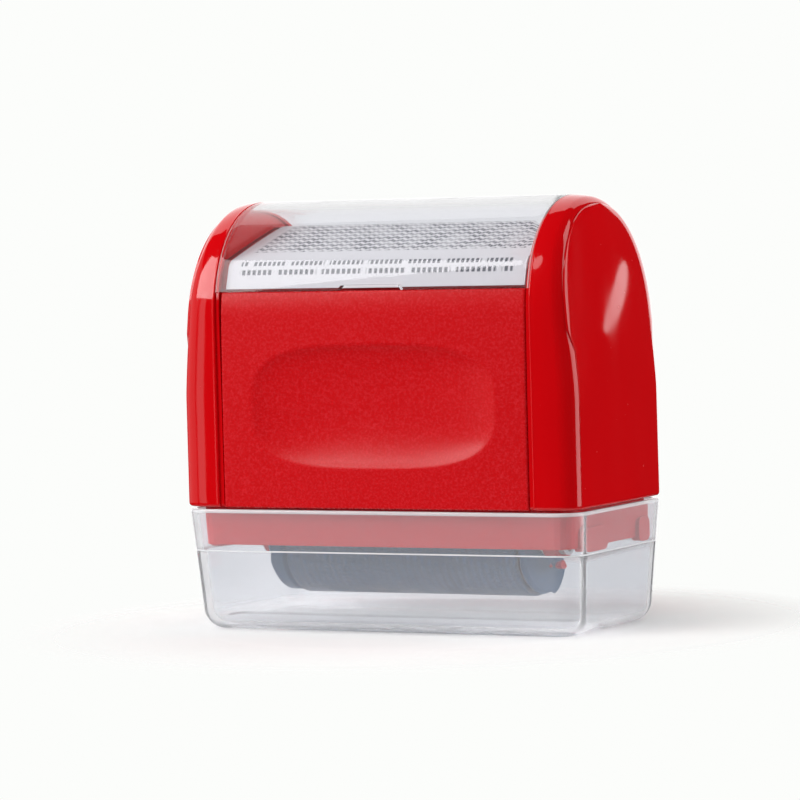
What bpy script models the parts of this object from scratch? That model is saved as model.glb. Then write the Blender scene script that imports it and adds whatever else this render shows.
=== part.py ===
"""Hand-held roller stamp with a clear dust cap, in metres, +Z up.

X runs along the roller, the front faces -Y, and the origin is at the centre of the
cap's floor, which the stamp stands on.
"""

import math

import bmesh
import bpy
from mathutils import Matrix, Vector

# Whole stamp
WIDTH = 0.062
HEIGHT = 0.060
DEPTH = 0.030
CLEARANCE = 0.0003
OVERRUN = 0.002
WELD = 0.000001

# Dust cap
CAP_HEIGHT = 0.0172
CAP_WALL = 0.0010
CAP_THICK_WALL = 0.0014
CAP_FLOOR = 0.0012
CAP_LEDGE_DROP = 0.00195
CAP_INSET = 0.0001
CAP_TAPER_X = 0.0012
CAP_TAPER_Y = 0.0014
CAP_CORNER = 0.0038
CAP_FOOT_RADIUS = 0.0028
CAP_RELIEF_LENGTH = 0.0090
CAP_RELIEF_HEIGHT = 0.0007
CAP_RELIEF_PLACE = -0.0045
CAP_RELIEF_STEPS = 10

# Housing: hoops, end plates, panels and the inner shell that carries them
ARCH_RISE = 0.016
ARCH_POWER = 2.1
ARCH_STEPS = 11
WALL_DRAFT = 0.00015
NARROWING = 0.0027
NARROWING_POWER = 1.2
NARROWING_DROP = 0.0110
NARROWING_STEPS = 4
RIM_RADIUS = 0.0037
RIM_STEPS = 4
CHEEK_LENGTH = 0.0065
GROOVE_WIDTH = 0.0011
HOOP_WALL = 0.0014
PLATE_THICKNESS = 0.0014
SEAT_THICKNESS = 0.0012
SEAT_WIDTH = 0.0012
PLATE_INSET_TOP = 0.0012
PLATE_INSET_FOOT = 0.0023
PLATE_KINK_DROP = 0.0021
PLATE_KINK_LENGTH = 0.0030
FRAME_WAY_GAP = 0.00025
PANEL_THICKNESS = 0.0024
SHELL_WALL = 0.0012
TONGUE_LENGTH = 0.0015

# Thumb scoops in the front and rear panels
SCOOP_SIDE_MARGIN = 0.0039
SCOOP_TOP_MARGIN = 0.00715
SCOOP_FOOT_MARGIN = 0.00545
SCOOP_DEPTH = 0.0015
SCOOP_POWER = 3.2
SCOOP_LIFT_SHARE = 0.35
SCOOP_SEGMENTS = 40
SCOOP_RINGS = 16

# Clear window, and the card on the bed under it: a ramp that rises to a crest behind the middle
WINDOW_RISE = 0.0121
WINDOW_WALL = 0.0011
BED_GAP = 0.0008
BED_SHOULDER_RISE = 0.0034
BED_SHOULDER_RADIUS = 0.0016
BED_CREST_PLACE = 0.0062
BED_CREST_FALL = 0.0030
BED_CREST_RADIUS = 0.0050
BED_STEPS = 6
CARD_THICKNESS = 0.00025
CARD_GAP = 0.0002
CARD_MARGIN = 0.0001
NOTCH_LENGTH = 0.0100
NOTCH_HEIGHT = 0.0007
NOTCH_SLOPE = 0.0004

# Frame: skirt inside the cap, deck, and the two bearing arms
SKIRT_DROP = 0.00535
SKIRT_WALL = 0.0013
SKIRT_GAP = 0.0003
SKIRT_SIDE_GAP = 0.0006
SKIRT_TAPER = 0.0004
SKIRT_CORNER = 0.0020
DECK_THICKNESS = 0.0014
DECK_GAP = 0.0021
ARM_THICKNESS = 0.0014
ARM_RADIUS = 0.0042
ARM_STEPS = 12
SNAP_PROUD = 0.00035
SNAP_DROP = 0.0007
SNAP_HEIGHT = 0.0034
SNAP_ROUNDING = 0.0010
SNAP_FRONT_LENGTH = 0.0068
SNAP_FRONT_PLACE = -0.0062
SNAP_REAR_LENGTH = 0.0035
SNAP_REAR_PLACE = 0.0092

# Roller
ROLLER_RADIUS = 0.0080
ROLLER_GROUND_GAP = 0.0045
SLEEVE_THICKNESS = 0.0010
FOAM_THICKNESS = 0.0022
AXLE_RADIUS = 0.0015
FLANGE_LEFT_LENGTH = 0.0029
FLANGE_RIGHT_LENGTH = 0.0011
FLANGE_STEP = 0.0003
FLANGE_CHAMFER = 0.0006
FLANGE_CHAMFER_MOST_SHARE = 1 / 3
BUSH_WALL = 0.0008
BUSH_COLLAR = 0.0006
BUSH_COLLAR_LENGTH = 0.0005
CLIP_THICKNESS = 0.0005
CLIP_WIDTH = 0.0010
AXLE_END = 0.0004
AXLE_SPACE = 0.0025
BEARING_GAPS = 5
ROUND_STEPS = 48
SMALL_STEPS = 28

# Round bevels, and the turn between two faces that shows as an edge
BEVEL_ROUND_SHARE = 0.5
EDGE_TURN = math.radians(35)

# Derived places
half_width = WIDTH / 2
half_depth = DEPTH / 2
housing_foot = CAP_HEIGHT + CLEARANCE
spring = HEIGHT - ARCH_RISE
arch_depth = half_depth - WALL_DRAFT
kink_top = spring - PLATE_KINK_DROP
narrowing_foot = spring - NARROWING_DROP
cheek_start = half_width - CHEEK_LENGTH
panel_half = cheek_start - GROOVE_WIDTH
window_half = cheek_start - CLEARANCE
window_foot = HEIGHT - WINDOW_RISE
panel_top = window_foot - CLEARANCE
wall_inside = half_depth - HOOP_WALL
axle_height = ROLLER_GROUND_GAP + ROLLER_RADIUS
deck_underside = axle_height + ROLLER_RADIUS + DECK_GAP
frame_top = deck_underside + DECK_THICKNESS
shell_foot = frame_top + CLEARANCE
shell_half_depth = half_depth - PANEL_THICKNESS - CLEARANCE
shell_end = cheek_start + TONGUE_LENGTH
skirt_half_x = half_width - PLATE_THICKNESS - SKIRT_SIDE_GAP
skirt_half_y = wall_inside - SKIRT_GAP
skirt_foot = housing_foot - SKIRT_DROP
cap_ledge = skirt_foot - CAP_LEDGE_DROP
bearing_length = (
    AXLE_END + CLIP_THICKNESS + ARM_THICKNESS + BUSH_COLLAR_LENGTH + BEARING_GAPS * CLEARANCE
)
roller_half = skirt_half_x - SKIRT_WALL - AXLE_SPACE - bearing_length - FLANGE_LEFT_LENGTH

COLOURS = {
    "gloss_red": ((0.60, 0.006, 0.010), 0.12, 0.0),
    "matte_red": ((0.52, 0.010, 0.018), 0.55, 0.0),
    "frame_red": ((0.50, 0.012, 0.020), 0.40, 0.0),
    "clear_cap": ((0.93, 0.93, 0.94), 0.05, 0.0),
    "clear_window": ((0.95, 0.95, 0.95), 0.05, 0.0),
    "card_white": ((0.82, 0.82, 0.82), 0.80, 0.0),
    "dark_rubber": ((0.035, 0.050, 0.080), 0.60, 0.0),
    "ink_foam": ((0.020, 0.020, 0.030), 0.90, 0.0),
    "dark_plastic": ((0.045, 0.055, 0.080), 0.40, 0.0),
    "pale_plastic": ((0.70, 0.70, 0.68), 0.45, 0.0),
    "steel": ((0.60, 0.60, 0.62), 0.25, 1.0),
}
SEE_THROUGH = ("clear_cap", "clear_window")

for leftover in list(bpy.data.objects):
    bpy.data.objects.remove(leftover)


def collection(name):
    """A new collection in the scene."""
    made = bpy.data.collections.new(name)
    bpy.context.scene.collection.children.link(made)
    return made


PARTS = collection("roller_stamp")
CUTTERS = collection("cutters")
MATERIALS = {}


def material(name):
    """The Principled material of this name, made once."""
    if name not in MATERIALS:
        colour, roughness, metallic = COLOURS[name]
        made = bpy.data.materials.new(name)
        made.use_nodes = True
        shader = made.node_tree.nodes["Principled BSDF"]
        shader.inputs["Base Color"].default_value = (*colour, 1)
        shader.inputs["Roughness"].default_value = roughness
        shader.inputs["Metallic"].default_value = metallic
        shader.inputs["Transmission Weight"].default_value = float(name in SEE_THROUGH)
        MATERIALS[name] = made
    return MATERIALS[name]


def add_object(name, mesh, finish=None):
    """Links a mesh as a part with its finish or, without one, as a hidden cutter."""
    made = bpy.data.objects.new(name, mesh)
    if finish:
        mesh.materials.append(material(finish))
        PARTS.objects.link(made)
    else:
        CUTTERS.objects.link(made)
        made.hide_render = True
        made.display_type = "WIRE"
    return made


def boolean(target, tool, operation="DIFFERENCE", solver="EXACT"):
    """Cuts, joins or intersects the target with a hidden tool."""
    step = target.modifiers.new(tool.name, "BOOLEAN")
    step.operation = operation
    step.solver = solver
    step.object = tool


def evaluated_mesh(source, name):
    """A mesh in world space of an object with its modifiers."""
    bpy.context.view_layer.update()
    graph = bpy.context.evaluated_depsgraph_get()
    mesh = bpy.data.meshes.new_from_object(source.evaluated_get(graph))
    mesh.name = name
    mesh.transform(source.matrix_world)
    return mesh


def arch_width(depth, crown, height):
    """Half the width of an arch at this height: a superellipse from the springing height."""
    share = max(height - spring, 0) / (crown - spring)
    return depth * (1 - share**ARCH_POWER) ** (1 / ARCH_POWER)


def arch_side(depth, crown, foot=0):
    """Points (y, z) up one side of an arch.

    They start at the foot height where that lies above the springing.
    """
    points = [(arch_width(depth, crown, foot), foot)] if foot > spring else []
    for step in range(ARCH_STEPS):
        turn = math.pi / 2 * step / ARCH_STEPS
        height = spring + (crown - spring) * math.sin(turn) ** (2 / ARCH_POWER)
        if height > foot + WELD:
            points.append((depth * math.cos(turn) ** (2 / ARCH_POWER), height))
    return points + [(0, crown)]


def mirrored(side):
    """A side's points from foot to crown, and on down the other side."""
    return side + [(-y, z) for y, z in reversed(side) if y > 0]


def prism(name, outline, start, end, finish=None):
    """An outline in the YZ plane, as a filled curve extruded along X, made a mesh."""
    curve = bpy.data.curves.new(name, "CURVE")
    curve.dimensions = "2D"
    curve.fill_mode = "BOTH"
    curve.extrude = (end - start) / 2
    spline = curve.splines.new("POLY")
    spline.points.add(len(outline) - 1)
    for point, (y, z) in zip(spline.points, outline):
        point.co = (y, z, 0, 1)
    spline.use_cyclic_u = True
    guide = bpy.data.objects.new(name, curve)
    CUTTERS.objects.link(guide)
    across = Matrix(((0, 0, 1, 0), (1, 0, 0, 0), (0, 1, 0, 0), (0, 0, 0, 1)))
    guide.matrix_world = Matrix.Translation(((start + end) / 2, 0, 0)) @ across
    mesh = evaluated_mesh(guide, name)
    bpy.data.objects.remove(guide)
    shape = bmesh.new()
    shape.from_mesh(mesh)
    bmesh.ops.remove_doubles(shape, verts=shape.verts, dist=WELD)
    for sign in (-1, 1):
        shape.normal_update()
        cap = [face for face in shape.faces if round(face.normal.x * sign) == 1]
        bmesh.ops.dissolve_faces(shape, faces=cap)
    bmesh.ops.recalc_face_normals(shape, faces=shape.faces)
    shape.to_mesh(mesh)
    shape.free()
    return add_object(name, mesh, finish)


def block(name, low, high, finish=None):
    """A box between two corners."""
    shape = bmesh.new()
    bmesh.ops.create_cube(shape, size=1)
    for point in shape.verts:
        point.co = [
            low[axis] if point.co[axis] < 0 else high[axis] for axis in range(3)
        ]
    mesh = bpy.data.meshes.new(name)
    shape.to_mesh(mesh)
    shape.free()
    return add_object(name, mesh, finish)


def round_edges(shape, edges, radius):
    """Rounds these edges of a bmesh."""
    bmesh.ops.bevel(
        shape, geom=edges, offset=radius, segments=RIM_STEPS, profile=BEVEL_ROUND_SHARE,
        affect="EDGES",
    )


def rounded_block(name, top_half, foot_half, foot, top, corner, foot_radius=0, finish=None):
    """A tapered box with rounded upright edges and, if asked, a rounded foot edge."""
    shape = bmesh.new()
    bmesh.ops.create_cube(shape, size=1)
    for point in shape.verts:
        upper = point.co.z > 0
        half = top_half if upper else foot_half
        point.co.x = math.copysign(half[0], point.co.x)
        point.co.y = math.copysign(half[1], point.co.y)
        point.co.z = top if upper else foot
    upright = [
        edge for edge in shape.edges if abs(edge.verts[0].co.z - edge.verts[1].co.z) > WELD
    ]
    round_edges(shape, upright, corner)
    if foot_radius:
        ring = [
            edge for edge in shape.edges if all(v.co.z < foot + WELD for v in edge.verts)
        ]
        round_edges(shape, ring, foot_radius)
    mesh = bpy.data.meshes.new(name)
    shape.to_mesh(mesh)
    shape.free()
    return add_object(name, mesh, finish)


def turned(name, profile, centre, finish, steps=SMALL_STEPS, closed=True):
    """A profile of (radius, place along the roller) turned about the roller's axis.

    It runs down its outer side. A closed profile is a ring, an open one starts and
    ends on the axis.
    """
    mesh = bpy.data.meshes.new(name)
    shape = bmesh.new()
    points = [shape.verts.new((radius, 0, along)) for radius, along in profile]
    for first, second in zip(points, points[1:]):
        shape.edges.new((first, second))
    if closed:
        shape.edges.new((points[-1], points[0]))
    shape.to_mesh(mesh)
    shape.free()
    made = add_object(name, mesh, finish)
    made.location = (centre, 0, axle_height)
    made.rotation_euler = (0, math.pi / 2, 0)
    screw = made.modifiers.new("turn", "SCREW")
    screw.steps = screw.render_steps = steps
    screw.use_merge_vertices = True
    screw.merge_threshold = WELD
    screw.use_smooth_shade = True
    return made


def ring_profile(inner, outer, half_length, chamfer=0):
    """A ring's closed section, down its outer side first, with chamfered outer corners."""
    if not chamfer:
        return [
            (outer, half_length), (outer, -half_length),
            (inner, -half_length), (inner, half_length),
        ]
    return [
        (outer - chamfer, half_length), (outer, half_length - chamfer),
        (outer, chamfer - half_length), (outer - chamfer, -half_length),
        (inner, -half_length), (inner, half_length),
    ]


def shade(made):
    """Smooth shading with sharp edges kept."""
    made.data.shade_smooth()
    made.data.set_sharp_from_angle(angle=EDGE_TURN)


def narrowed_half_width(height):
    """The housing's half width at this height: full at the waist, less at the crown."""
    share = max(0, (height - narrowing_foot) / (HEIGHT - narrowing_foot))
    return half_width - NARROWING * share**NARROWING_POWER


def cheek_side(foot):
    """The cheek's outline up one side, with levels where it starts to narrow."""
    side = [(half_depth, foot)]
    for step in range(NARROWING_STEPS):
        height = narrowing_foot + (spring - narrowing_foot) * step / NARROWING_STEPS
        drafted = half_depth - WALL_DRAFT * (height - housing_foot) / (spring - housing_foot)
        side.append((drafted, height))
    return side + arch_side(arch_depth, HEIGHT)


def cheek_form(name, foot):
    """The right cheek as a plain solid: arched, with a round outer rim, and narrowed."""
    side = cheek_side(foot)
    made = prism(name, mirrored(side), cheek_start, half_width)
    shape = bmesh.new()
    shape.from_mesh(made.data)
    rim = [
        edge
        for edge in shape.edges
        if all(v.co.x > half_width - WELD for v in edge.verts)
        and not all(v.co.z < foot + WELD for v in edge.verts)
    ]
    round_edges(shape, rim, RIM_RADIUS)
    for _, height in side[1:-1]:
        everything = list(shape.verts) + list(shape.edges) + list(shape.faces)
        bmesh.ops.bisect_plane(
            shape, geom=everything, dist=WELD, plane_co=(0, 0, height), plane_no=(0, 0, 1)
        )
    for point in shape.verts:
        stretch = (narrowed_half_width(point.co.z) - cheek_start) / CHEEK_LENGTH
        point.co.x = cheek_start + (point.co.x - cheek_start) * stretch
    bmesh.ops.recalc_face_normals(shape, faces=shape.faces)
    shape.to_mesh(made.data)
    shape.free()
    return made


def shifted_copy(source, name, distance):
    """A hidden copy of a plain solid, moved along X."""
    mesh = source.data.copy()
    mesh.name = name
    mesh.transform(Matrix.Translation((distance, 0, 0)))
    return add_object(name, mesh)


def plate_inset(height):
    """How far the end plate's edge lies inside the cheek's outline at this height."""
    share = min(max((kink_top - height) / PLATE_KINK_LENGTH, 0), 1)
    return PLATE_INSET_TOP + (PLATE_INSET_FOOT - PLATE_INSET_TOP) * share


def plate_outline(margin, foot):
    """The end plate's outline, drawn in by a margin, down to the foot height."""
    side = [
        (half_depth - plate_inset(height) - margin, height)
        for height in (foot, kink_top - PLATE_KINK_LENGTH, kink_top)
    ]
    inset = PLATE_INSET_TOP + margin
    return mirrored(side + arch_side(arch_depth - inset, HEIGHT - inset))


def rounded_corner(before, corner, after, radius, margin):
    """Points of the arc that rounds a corner between its neighbours, raised by a margin."""
    to_before = (before - corner).normalized()
    to_after = (after - corner).normalized()
    half_turn = to_before.angle(to_after) / 2
    centre = corner + (to_before + to_after).normalized() * radius / math.sin(half_turn)
    reach = radius / math.tan(half_turn)
    first = corner + to_before * reach - centre
    last = corner + to_after * reach - centre
    arc = [first.lerp(last, step / BED_STEPS).normalized() for step in range(BED_STEPS + 1)]
    return [tuple(centre + out * (radius + margin)) for out in arc]


def bed_path(margin, foot):
    """The card's bed raised by a margin, from its rear foot over the crest to the front.

    Walls that follow the window end in round shoulders, and slopes rise to the crest.
    """
    inner = (arch_depth - WINDOW_WALL - BED_GAP, HEIGHT - WINDOW_WALL)
    shoulder_height = window_foot + BED_SHOULDER_RISE
    edge = arch_width(*inner, window_foot)
    shoulder = arch_width(*inner, shoulder_height)
    corners = [
        Vector(corner)
        for corner in (
            (edge, window_foot),
            (shoulder, shoulder_height),
            (BED_CREST_PLACE, HEIGHT - BED_CREST_FALL),
            (-shoulder, shoulder_height),
            (-edge, window_foot),
        )
    ]
    lean = (edge - shoulder) * (foot - window_foot) / BED_SHOULDER_RISE
    path = [(edge - lean + margin, foot)]
    radii = (BED_SHOULDER_RADIUS, BED_CREST_RADIUS, BED_SHOULDER_RADIUS)
    for number, radius in enumerate(radii):
        path += rounded_corner(*corners[number : number + 3], radius, margin)
    return path + [(lean - edge - margin, foot)]


def shell_path(margin, foot):
    """The inner shell's outline drawn out by a margin: straight walls under the bed."""
    depth = shell_half_depth + margin
    top = window_foot - margin
    return [(depth, foot), (depth, top)] + bed_path(margin, top) + [(-depth, top), (-depth, foot)]


def flipped_copy(source, name, finish):
    """The mirror image of a finished piece, on the other side."""
    mesh = evaluated_mesh(source, name)
    mesh.transform(Matrix.Scale(-1, 4, (1, 0, 0)))
    mesh.flip_normals()
    mesh.materials.clear()
    return add_object(name, mesh, finish)


def build_cheeks():
    """Both cheeks: a hoop with a seat, and the end plate that closes it."""
    low = housing_foot - OVERRUN
    form = cheek_form("cheek_form", housing_foot)
    tall_form = cheek_form("tall_cheek_form", low)
    outside = half_width + OVERRUN
    inside_start = cheek_start + HOOP_WALL
    seat_depth = PLATE_THICKNESS + CLEARANCE

    plate = add_object("end_plate_right", form.data.copy(), "gloss_red")
    lower = low - OVERRUN
    plate_slot = prism("plate_edge", plate_outline(CLEARANCE, lower), cheek_start, outside)
    boolean(plate, plate_slot, "INTERSECT")
    boolean(plate, shifted_copy(tall_form, "plate_back", -PLATE_THICKNESS))

    hoop = add_object("hoop_right", form.data.copy(), "gloss_red")
    passage = prism(
        "shell_passage", shell_path(CLEARANCE, low), cheek_start - OVERRUN,
        inside_start + CLEARANCE,
    )
    boolean(hoop, passage, solver="MANIFOLD")

    inner_depth = arch_depth - HOOP_WALL
    side = [(inner_depth, lower)] + arch_side(inner_depth, HEIGHT - HOOP_WALL)
    inside = prism("hoop_inside", mirrored(side), inside_start, outside)
    seat_back = shifted_copy(tall_form, "seat_back", -seat_depth - SEAT_THICKNESS)
    boolean(inside, seat_back, "INTERSECT")
    boolean(hoop, inside, solver="MANIFOLD")

    rebate = prism("plate_rebate", plate_outline(0, lower), cheek_start, outside)
    boolean(rebate, shifted_copy(tall_form, "seat_face", -seat_depth))
    boolean(hoop, rebate, solver="MANIFOLD")
    seat_opening = prism(
        "seat_opening", plate_outline(SEAT_WIDTH + CLEARANCE, low),
        inside_start + 2 * CLEARANCE, outside,
    )
    boolean(hoop, seat_opening, solver="MANIFOLD")
    way_depth = skirt_half_y + FRAME_WAY_GAP
    frame_way = block(
        "frame_way",
        (cheek_start - OVERRUN, -way_depth, lower),
        (skirt_half_x + CLEARANCE, way_depth, shell_foot),
    )
    boolean(hoop, frame_way, solver="MANIFOLD")

    flipped_copy(plate, "end_plate_left", "gloss_red")
    flipped_copy(hoop, "hoop_left", "gloss_red")


def build_shell():
    """The inner shell: a U-shaped wall whose top is the bed of the card."""
    outline = shell_path(0, shell_foot) + shell_path(-SHELL_WALL, shell_foot)[::-1]
    prism("inner_shell", outline, -shell_end, shell_end, "frame_red")


def scoop_tool(name, facing):
    """A superellipsoid that hollows a thumb scoop out of the panel on this side."""
    shape = bmesh.new()
    bmesh.ops.create_uvsphere(
        shape, u_segments=SCOOP_SEGMENTS, v_segments=SCOOP_RINGS, radius=1
    )
    lift = SCOOP_DEPTH * SCOOP_LIFT_SHARE
    foot = housing_foot + SCOOP_FOOT_MARGIN
    half_height = (panel_top - SCOOP_TOP_MARGIN - foot) / 2
    for point in shape.verts:
        flat = math.hypot(point.co.x, point.co.y)
        turn = math.atan2(point.co.y, point.co.x)
        along = math.copysign(abs(math.cos(turn)) ** (2 / SCOOP_POWER), math.cos(turn))
        up = math.copysign(abs(math.sin(turn)) ** (2 / SCOOP_POWER), math.sin(turn))
        point.co = (
            along * flat * (panel_half - SCOOP_SIDE_MARGIN),
            facing * (half_depth + lift) + point.co.z * (SCOOP_DEPTH + lift),
            foot + half_height + up * flat * half_height,
        )
    bmesh.ops.reverse_faces(shape, faces=shape.faces)
    mesh = bpy.data.meshes.new(name)
    shape.to_mesh(mesh)
    shape.free()
    return add_object(name, mesh)


def build_panel(name, facing):
    """A matte panel with its thumb scoop: thin where the skirt passes behind it."""
    fall = WALL_DRAFT * (panel_top - housing_foot) / (spring - housing_foot)
    section = [
        (half_depth, housing_foot),
        (half_depth - fall, panel_top),
        (half_depth - PANEL_THICKNESS, panel_top),
        (half_depth - PANEL_THICKNESS, shell_foot),
        (wall_inside, shell_foot),
        (wall_inside, housing_foot),
    ]
    outline = [(facing * y, z) for y, z in section]
    panel = prism(name, outline, -panel_half, panel_half, "matte_red")
    boolean(panel, scoop_tool(name + "_scoop", facing))


def nail_notch():
    """The cutter of the slot for a fingernail, narrower at its top."""
    half = NOTCH_LENGTH / 2
    shape = bmesh.new()
    bmesh.ops.create_cube(shape, size=1)
    for point in shape.verts:
        upper = point.co.z > 0
        point.co.x = math.copysign(half - NOTCH_SLOPE if upper else half, point.co.x)
        point.co.y = -half_depth - OVERRUN if point.co.y < 0 else PANEL_THICKNESS - half_depth
        point.co.z = window_foot + NOTCH_HEIGHT if upper else window_foot - NOTCH_HEIGHT
    mesh = bpy.data.meshes.new("nail_notch")
    shape.to_mesh(mesh)
    shape.free()
    return add_object("nail_notch", mesh)


def build_window():
    """The clear arched window with its nail notch, and the card under it."""
    outer = arch_side(arch_depth, HEIGHT, window_foot)
    inner = arch_side(arch_depth - WINDOW_WALL, HEIGHT - WINDOW_WALL, window_foot)
    outline = mirrored(outer) + mirrored(inner)[::-1]
    window = prism("window_cover", outline, -window_half, window_half, "clear_window")
    boolean(window, nail_notch())

    foot = window_foot + CLEARANCE
    outline = bed_path(CARD_GAP + CARD_THICKNESS, foot) + bed_path(CARD_GAP, foot)[::-1]
    card_half = panel_half - CARD_MARGIN
    prism("index_card", outline, -card_half, card_half, "card_white")


def arm_outline():
    """A bearing arm: straight down from the deck, and round about the axle."""
    points = [(ARM_RADIUS, deck_underside + DECK_THICKNESS / 2)]
    for step in range(ARM_STEPS + 1):
        turn = -math.pi * step / ARM_STEPS
        points.append(
            (ARM_RADIUS * math.cos(turn), axle_height + ARM_RADIUS * math.sin(turn))
        )
    points.append((-ARM_RADIUS, deck_underside + DECK_THICKNESS / 2))
    return points


def arm_places():
    """Where each bearing arm starts and ends along X, left and right."""
    left = -roller_half - CLEARANCE - FLANGE_LEFT_LENGTH - BUSH_COLLAR_LENGTH - 2 * CLEARANCE
    right = roller_half + CLEARANCE + FLANGE_RIGHT_LENGTH + BUSH_COLLAR_LENGTH + 2 * CLEARANCE
    return ((left - ARM_THICKNESS, left), (right, right + ARM_THICKNESS))


def snap_nub(name, side, place, length):
    """A nub with rounded long edges on one end of the skirt, which grips the cap."""
    near = side * (skirt_half_x - SKIRT_WALL + SKIRT_TAPER / 2)
    reach = side * (skirt_half_x - SKIRT_TAPER / 2 + SNAP_PROUD)
    foot = skirt_foot - SNAP_DROP
    nub = block(
        name,
        (min(near, reach), place - length / 2, foot),
        (max(near, reach), place + length / 2, foot + SNAP_HEIGHT),
    )
    shape = bmesh.new()
    shape.from_mesh(nub.data)
    along = [
        edge for edge in shape.edges if abs(edge.verts[0].co.x - edge.verts[1].co.x) > WELD
    ]
    round_edges(shape, along, SNAP_ROUNDING)
    shape.to_mesh(nub.data)
    shape.free()
    return nub


def build_frame():
    """The frame: an upside-down box with snap nubs outside and bearing arms inside."""
    top = (skirt_half_x, skirt_half_y)
    foot = (skirt_half_x - SKIRT_TAPER, skirt_half_y - SKIRT_TAPER)
    frame = rounded_block(
        "frame", top, foot, skirt_foot, frame_top, SKIRT_CORNER, finish="frame_red"
    )
    hollow = rounded_block(
        "frame_hollow", [size - SKIRT_WALL for size in top],
        [size - SKIRT_WALL for size in foot], skirt_foot - OVERRUN, deck_underside,
        SKIRT_CORNER / 2,
    )
    boolean(frame, hollow)
    for side in (-1, 1):
        for place, length in (
            (SNAP_FRONT_PLACE, SNAP_FRONT_LENGTH),
            (SNAP_REAR_PLACE, SNAP_REAR_LENGTH),
        ):
            nub = snap_nub("snap_nub", side, place, length)
            boolean(frame, nub, "UNION")
    seat = AXLE_RADIUS + CLEARANCE + BUSH_WALL + CLEARANCE
    bore = turned(
        "bush_seat",
        [(0, half_width), (seat, half_width), (seat, -half_width), (0, -half_width)],
        0, None, closed=False,
    )
    for start, end in arm_places():
        arm = prism("bearing_arm", arm_outline(), start, end)
        boolean(arm, bore)
        boolean(frame, arm, "UNION")


def build_bearing(name, side, inner_face, outer_face):
    """A bush in one arm, with its collar towards the roller, and the clip outside it."""
    bore = AXLE_RADIUS + CLEARANCE
    bush_outer = bore + BUSH_WALL
    half = ARM_THICKNESS / 2 + CLEARANCE
    collar_end = half + BUSH_COLLAR_LENGTH
    section = [
        (bush_outer + BUSH_COLLAR, collar_end), (bush_outer + BUSH_COLLAR, half),
        (bush_outer, half), (bush_outer, -half), (bore, -half), (bore, collar_end),
    ]
    if side > 0:
        section = [(radius, -along) for radius, along in reversed(section)]
    turned(f"bush_{name}", section, (inner_face + outer_face) / 2, "pale_plastic")
    clip_centre = outer_face + side * (2 * CLEARANCE + CLIP_THICKNESS / 2)
    ring = ring_profile(bore, bore + CLIP_WIDTH, CLIP_THICKNESS / 2)
    turned(f"clip_{name}", ring, clip_centre, "steel")


def build_roller():
    """The roller: axle, spool, ink foam, printing sleeve, flanges, and its bearings."""
    sleeve_inner = ROLLER_RADIUS - SLEEVE_THICKNESS
    foam_outer = sleeve_inner - CLEARANCE
    foam_inner = foam_outer - FOAM_THICKNESS
    bore = AXLE_RADIUS + CLEARANCE
    sleeve = ring_profile(sleeve_inner, ROLLER_RADIUS, roller_half)
    foam = ring_profile(foam_inner, foam_outer, roller_half)
    spool = ring_profile(bore, foam_inner - CLEARANCE, roller_half)
    turned("print_sleeve", sleeve, 0, "dark_rubber", ROUND_STEPS)
    turned("ink_foam", foam, 0, "ink_foam")
    turned("roller_spool", spool, 0, "dark_plastic")

    (left_out, left_in), (right_in, right_out) = arm_places()
    for name, side, length, inner_face, outer_face in (
        ("left", -1, FLANGE_LEFT_LENGTH, left_in, left_out),
        ("right", 1, FLANGE_RIGHT_LENGTH, right_in, right_out),
    ):
        chamfer = min(FLANGE_CHAMFER, length * FLANGE_CHAMFER_MOST_SHARE)
        flange = ring_profile(bore, ROLLER_RADIUS - FLANGE_STEP, length / 2, chamfer)
        centre = side * (roller_half + CLEARANCE + length / 2)
        turned(f"flange_{name}", flange, centre, "dark_plastic", ROUND_STEPS)
        build_bearing(name, side, inner_face, outer_face)

    reach = 2 * CLEARANCE + CLIP_THICKNESS + AXLE_END
    half = (right_out - left_out) / 2 + reach
    turned(
        "axle", [(0, half), (AXLE_RADIUS, half), (AXLE_RADIUS, -half), (0, -half)],
        (left_out + right_out) / 2, "steel", closed=False,
    )


def cap_half(height, wall=0):
    """The cap's half sizes at this height, less a wall."""
    share = height / CAP_HEIGHT
    tapers = ((half_width, CAP_TAPER_X), (half_depth, CAP_TAPER_Y))
    return [half - CAP_INSET - taper * (1 - share) - wall for half, taper in tapers]


def build_cap():
    """The clear dust cap: a tapered tub with a ledge inside and a relief across its foot."""
    cap = rounded_block(
        "dust_cap", cap_half(CAP_HEIGHT), cap_half(0), 0, CAP_HEIGHT, CAP_CORNER,
        CAP_FOOT_RADIUS, "clear_cap",
    )
    over = CAP_HEIGHT + OVERRUN
    upper = rounded_block(
        "cap_upper", cap_half(over, CAP_WALL), cap_half(cap_ledge, CAP_WALL), cap_ledge,
        over, CAP_CORNER - CAP_WALL,
    )
    lower = rounded_block(
        "cap_lower", cap_half(over, CAP_THICK_WALL), cap_half(CAP_FLOOR, CAP_THICK_WALL),
        CAP_FLOOR, over, CAP_CORNER - CAP_THICK_WALL, CAP_FOOT_RADIUS - CAP_FLOOR,
    )
    boolean(cap, upper)
    boolean(cap, lower)
    half = CAP_RELIEF_LENGTH / 2
    radius = (half**2 + CAP_RELIEF_HEIGHT**2) / (2 * CAP_RELIEF_HEIGHT)
    outline = [(CAP_RELIEF_PLACE + half, -OVERRUN), (CAP_RELIEF_PLACE + half, 0)]
    for step in range(1, CAP_RELIEF_STEPS):
        along = half - CAP_RELIEF_LENGTH * step / CAP_RELIEF_STEPS
        rise = math.sqrt(radius**2 - along**2) - radius + CAP_RELIEF_HEIGHT
        outline.append((CAP_RELIEF_PLACE + along, rise))
    outline += [(CAP_RELIEF_PLACE - half, 0), (CAP_RELIEF_PLACE - half, -OVERRUN)]
    boolean(cap, prism("cap_relief", outline, -half_width, half_width))


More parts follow.
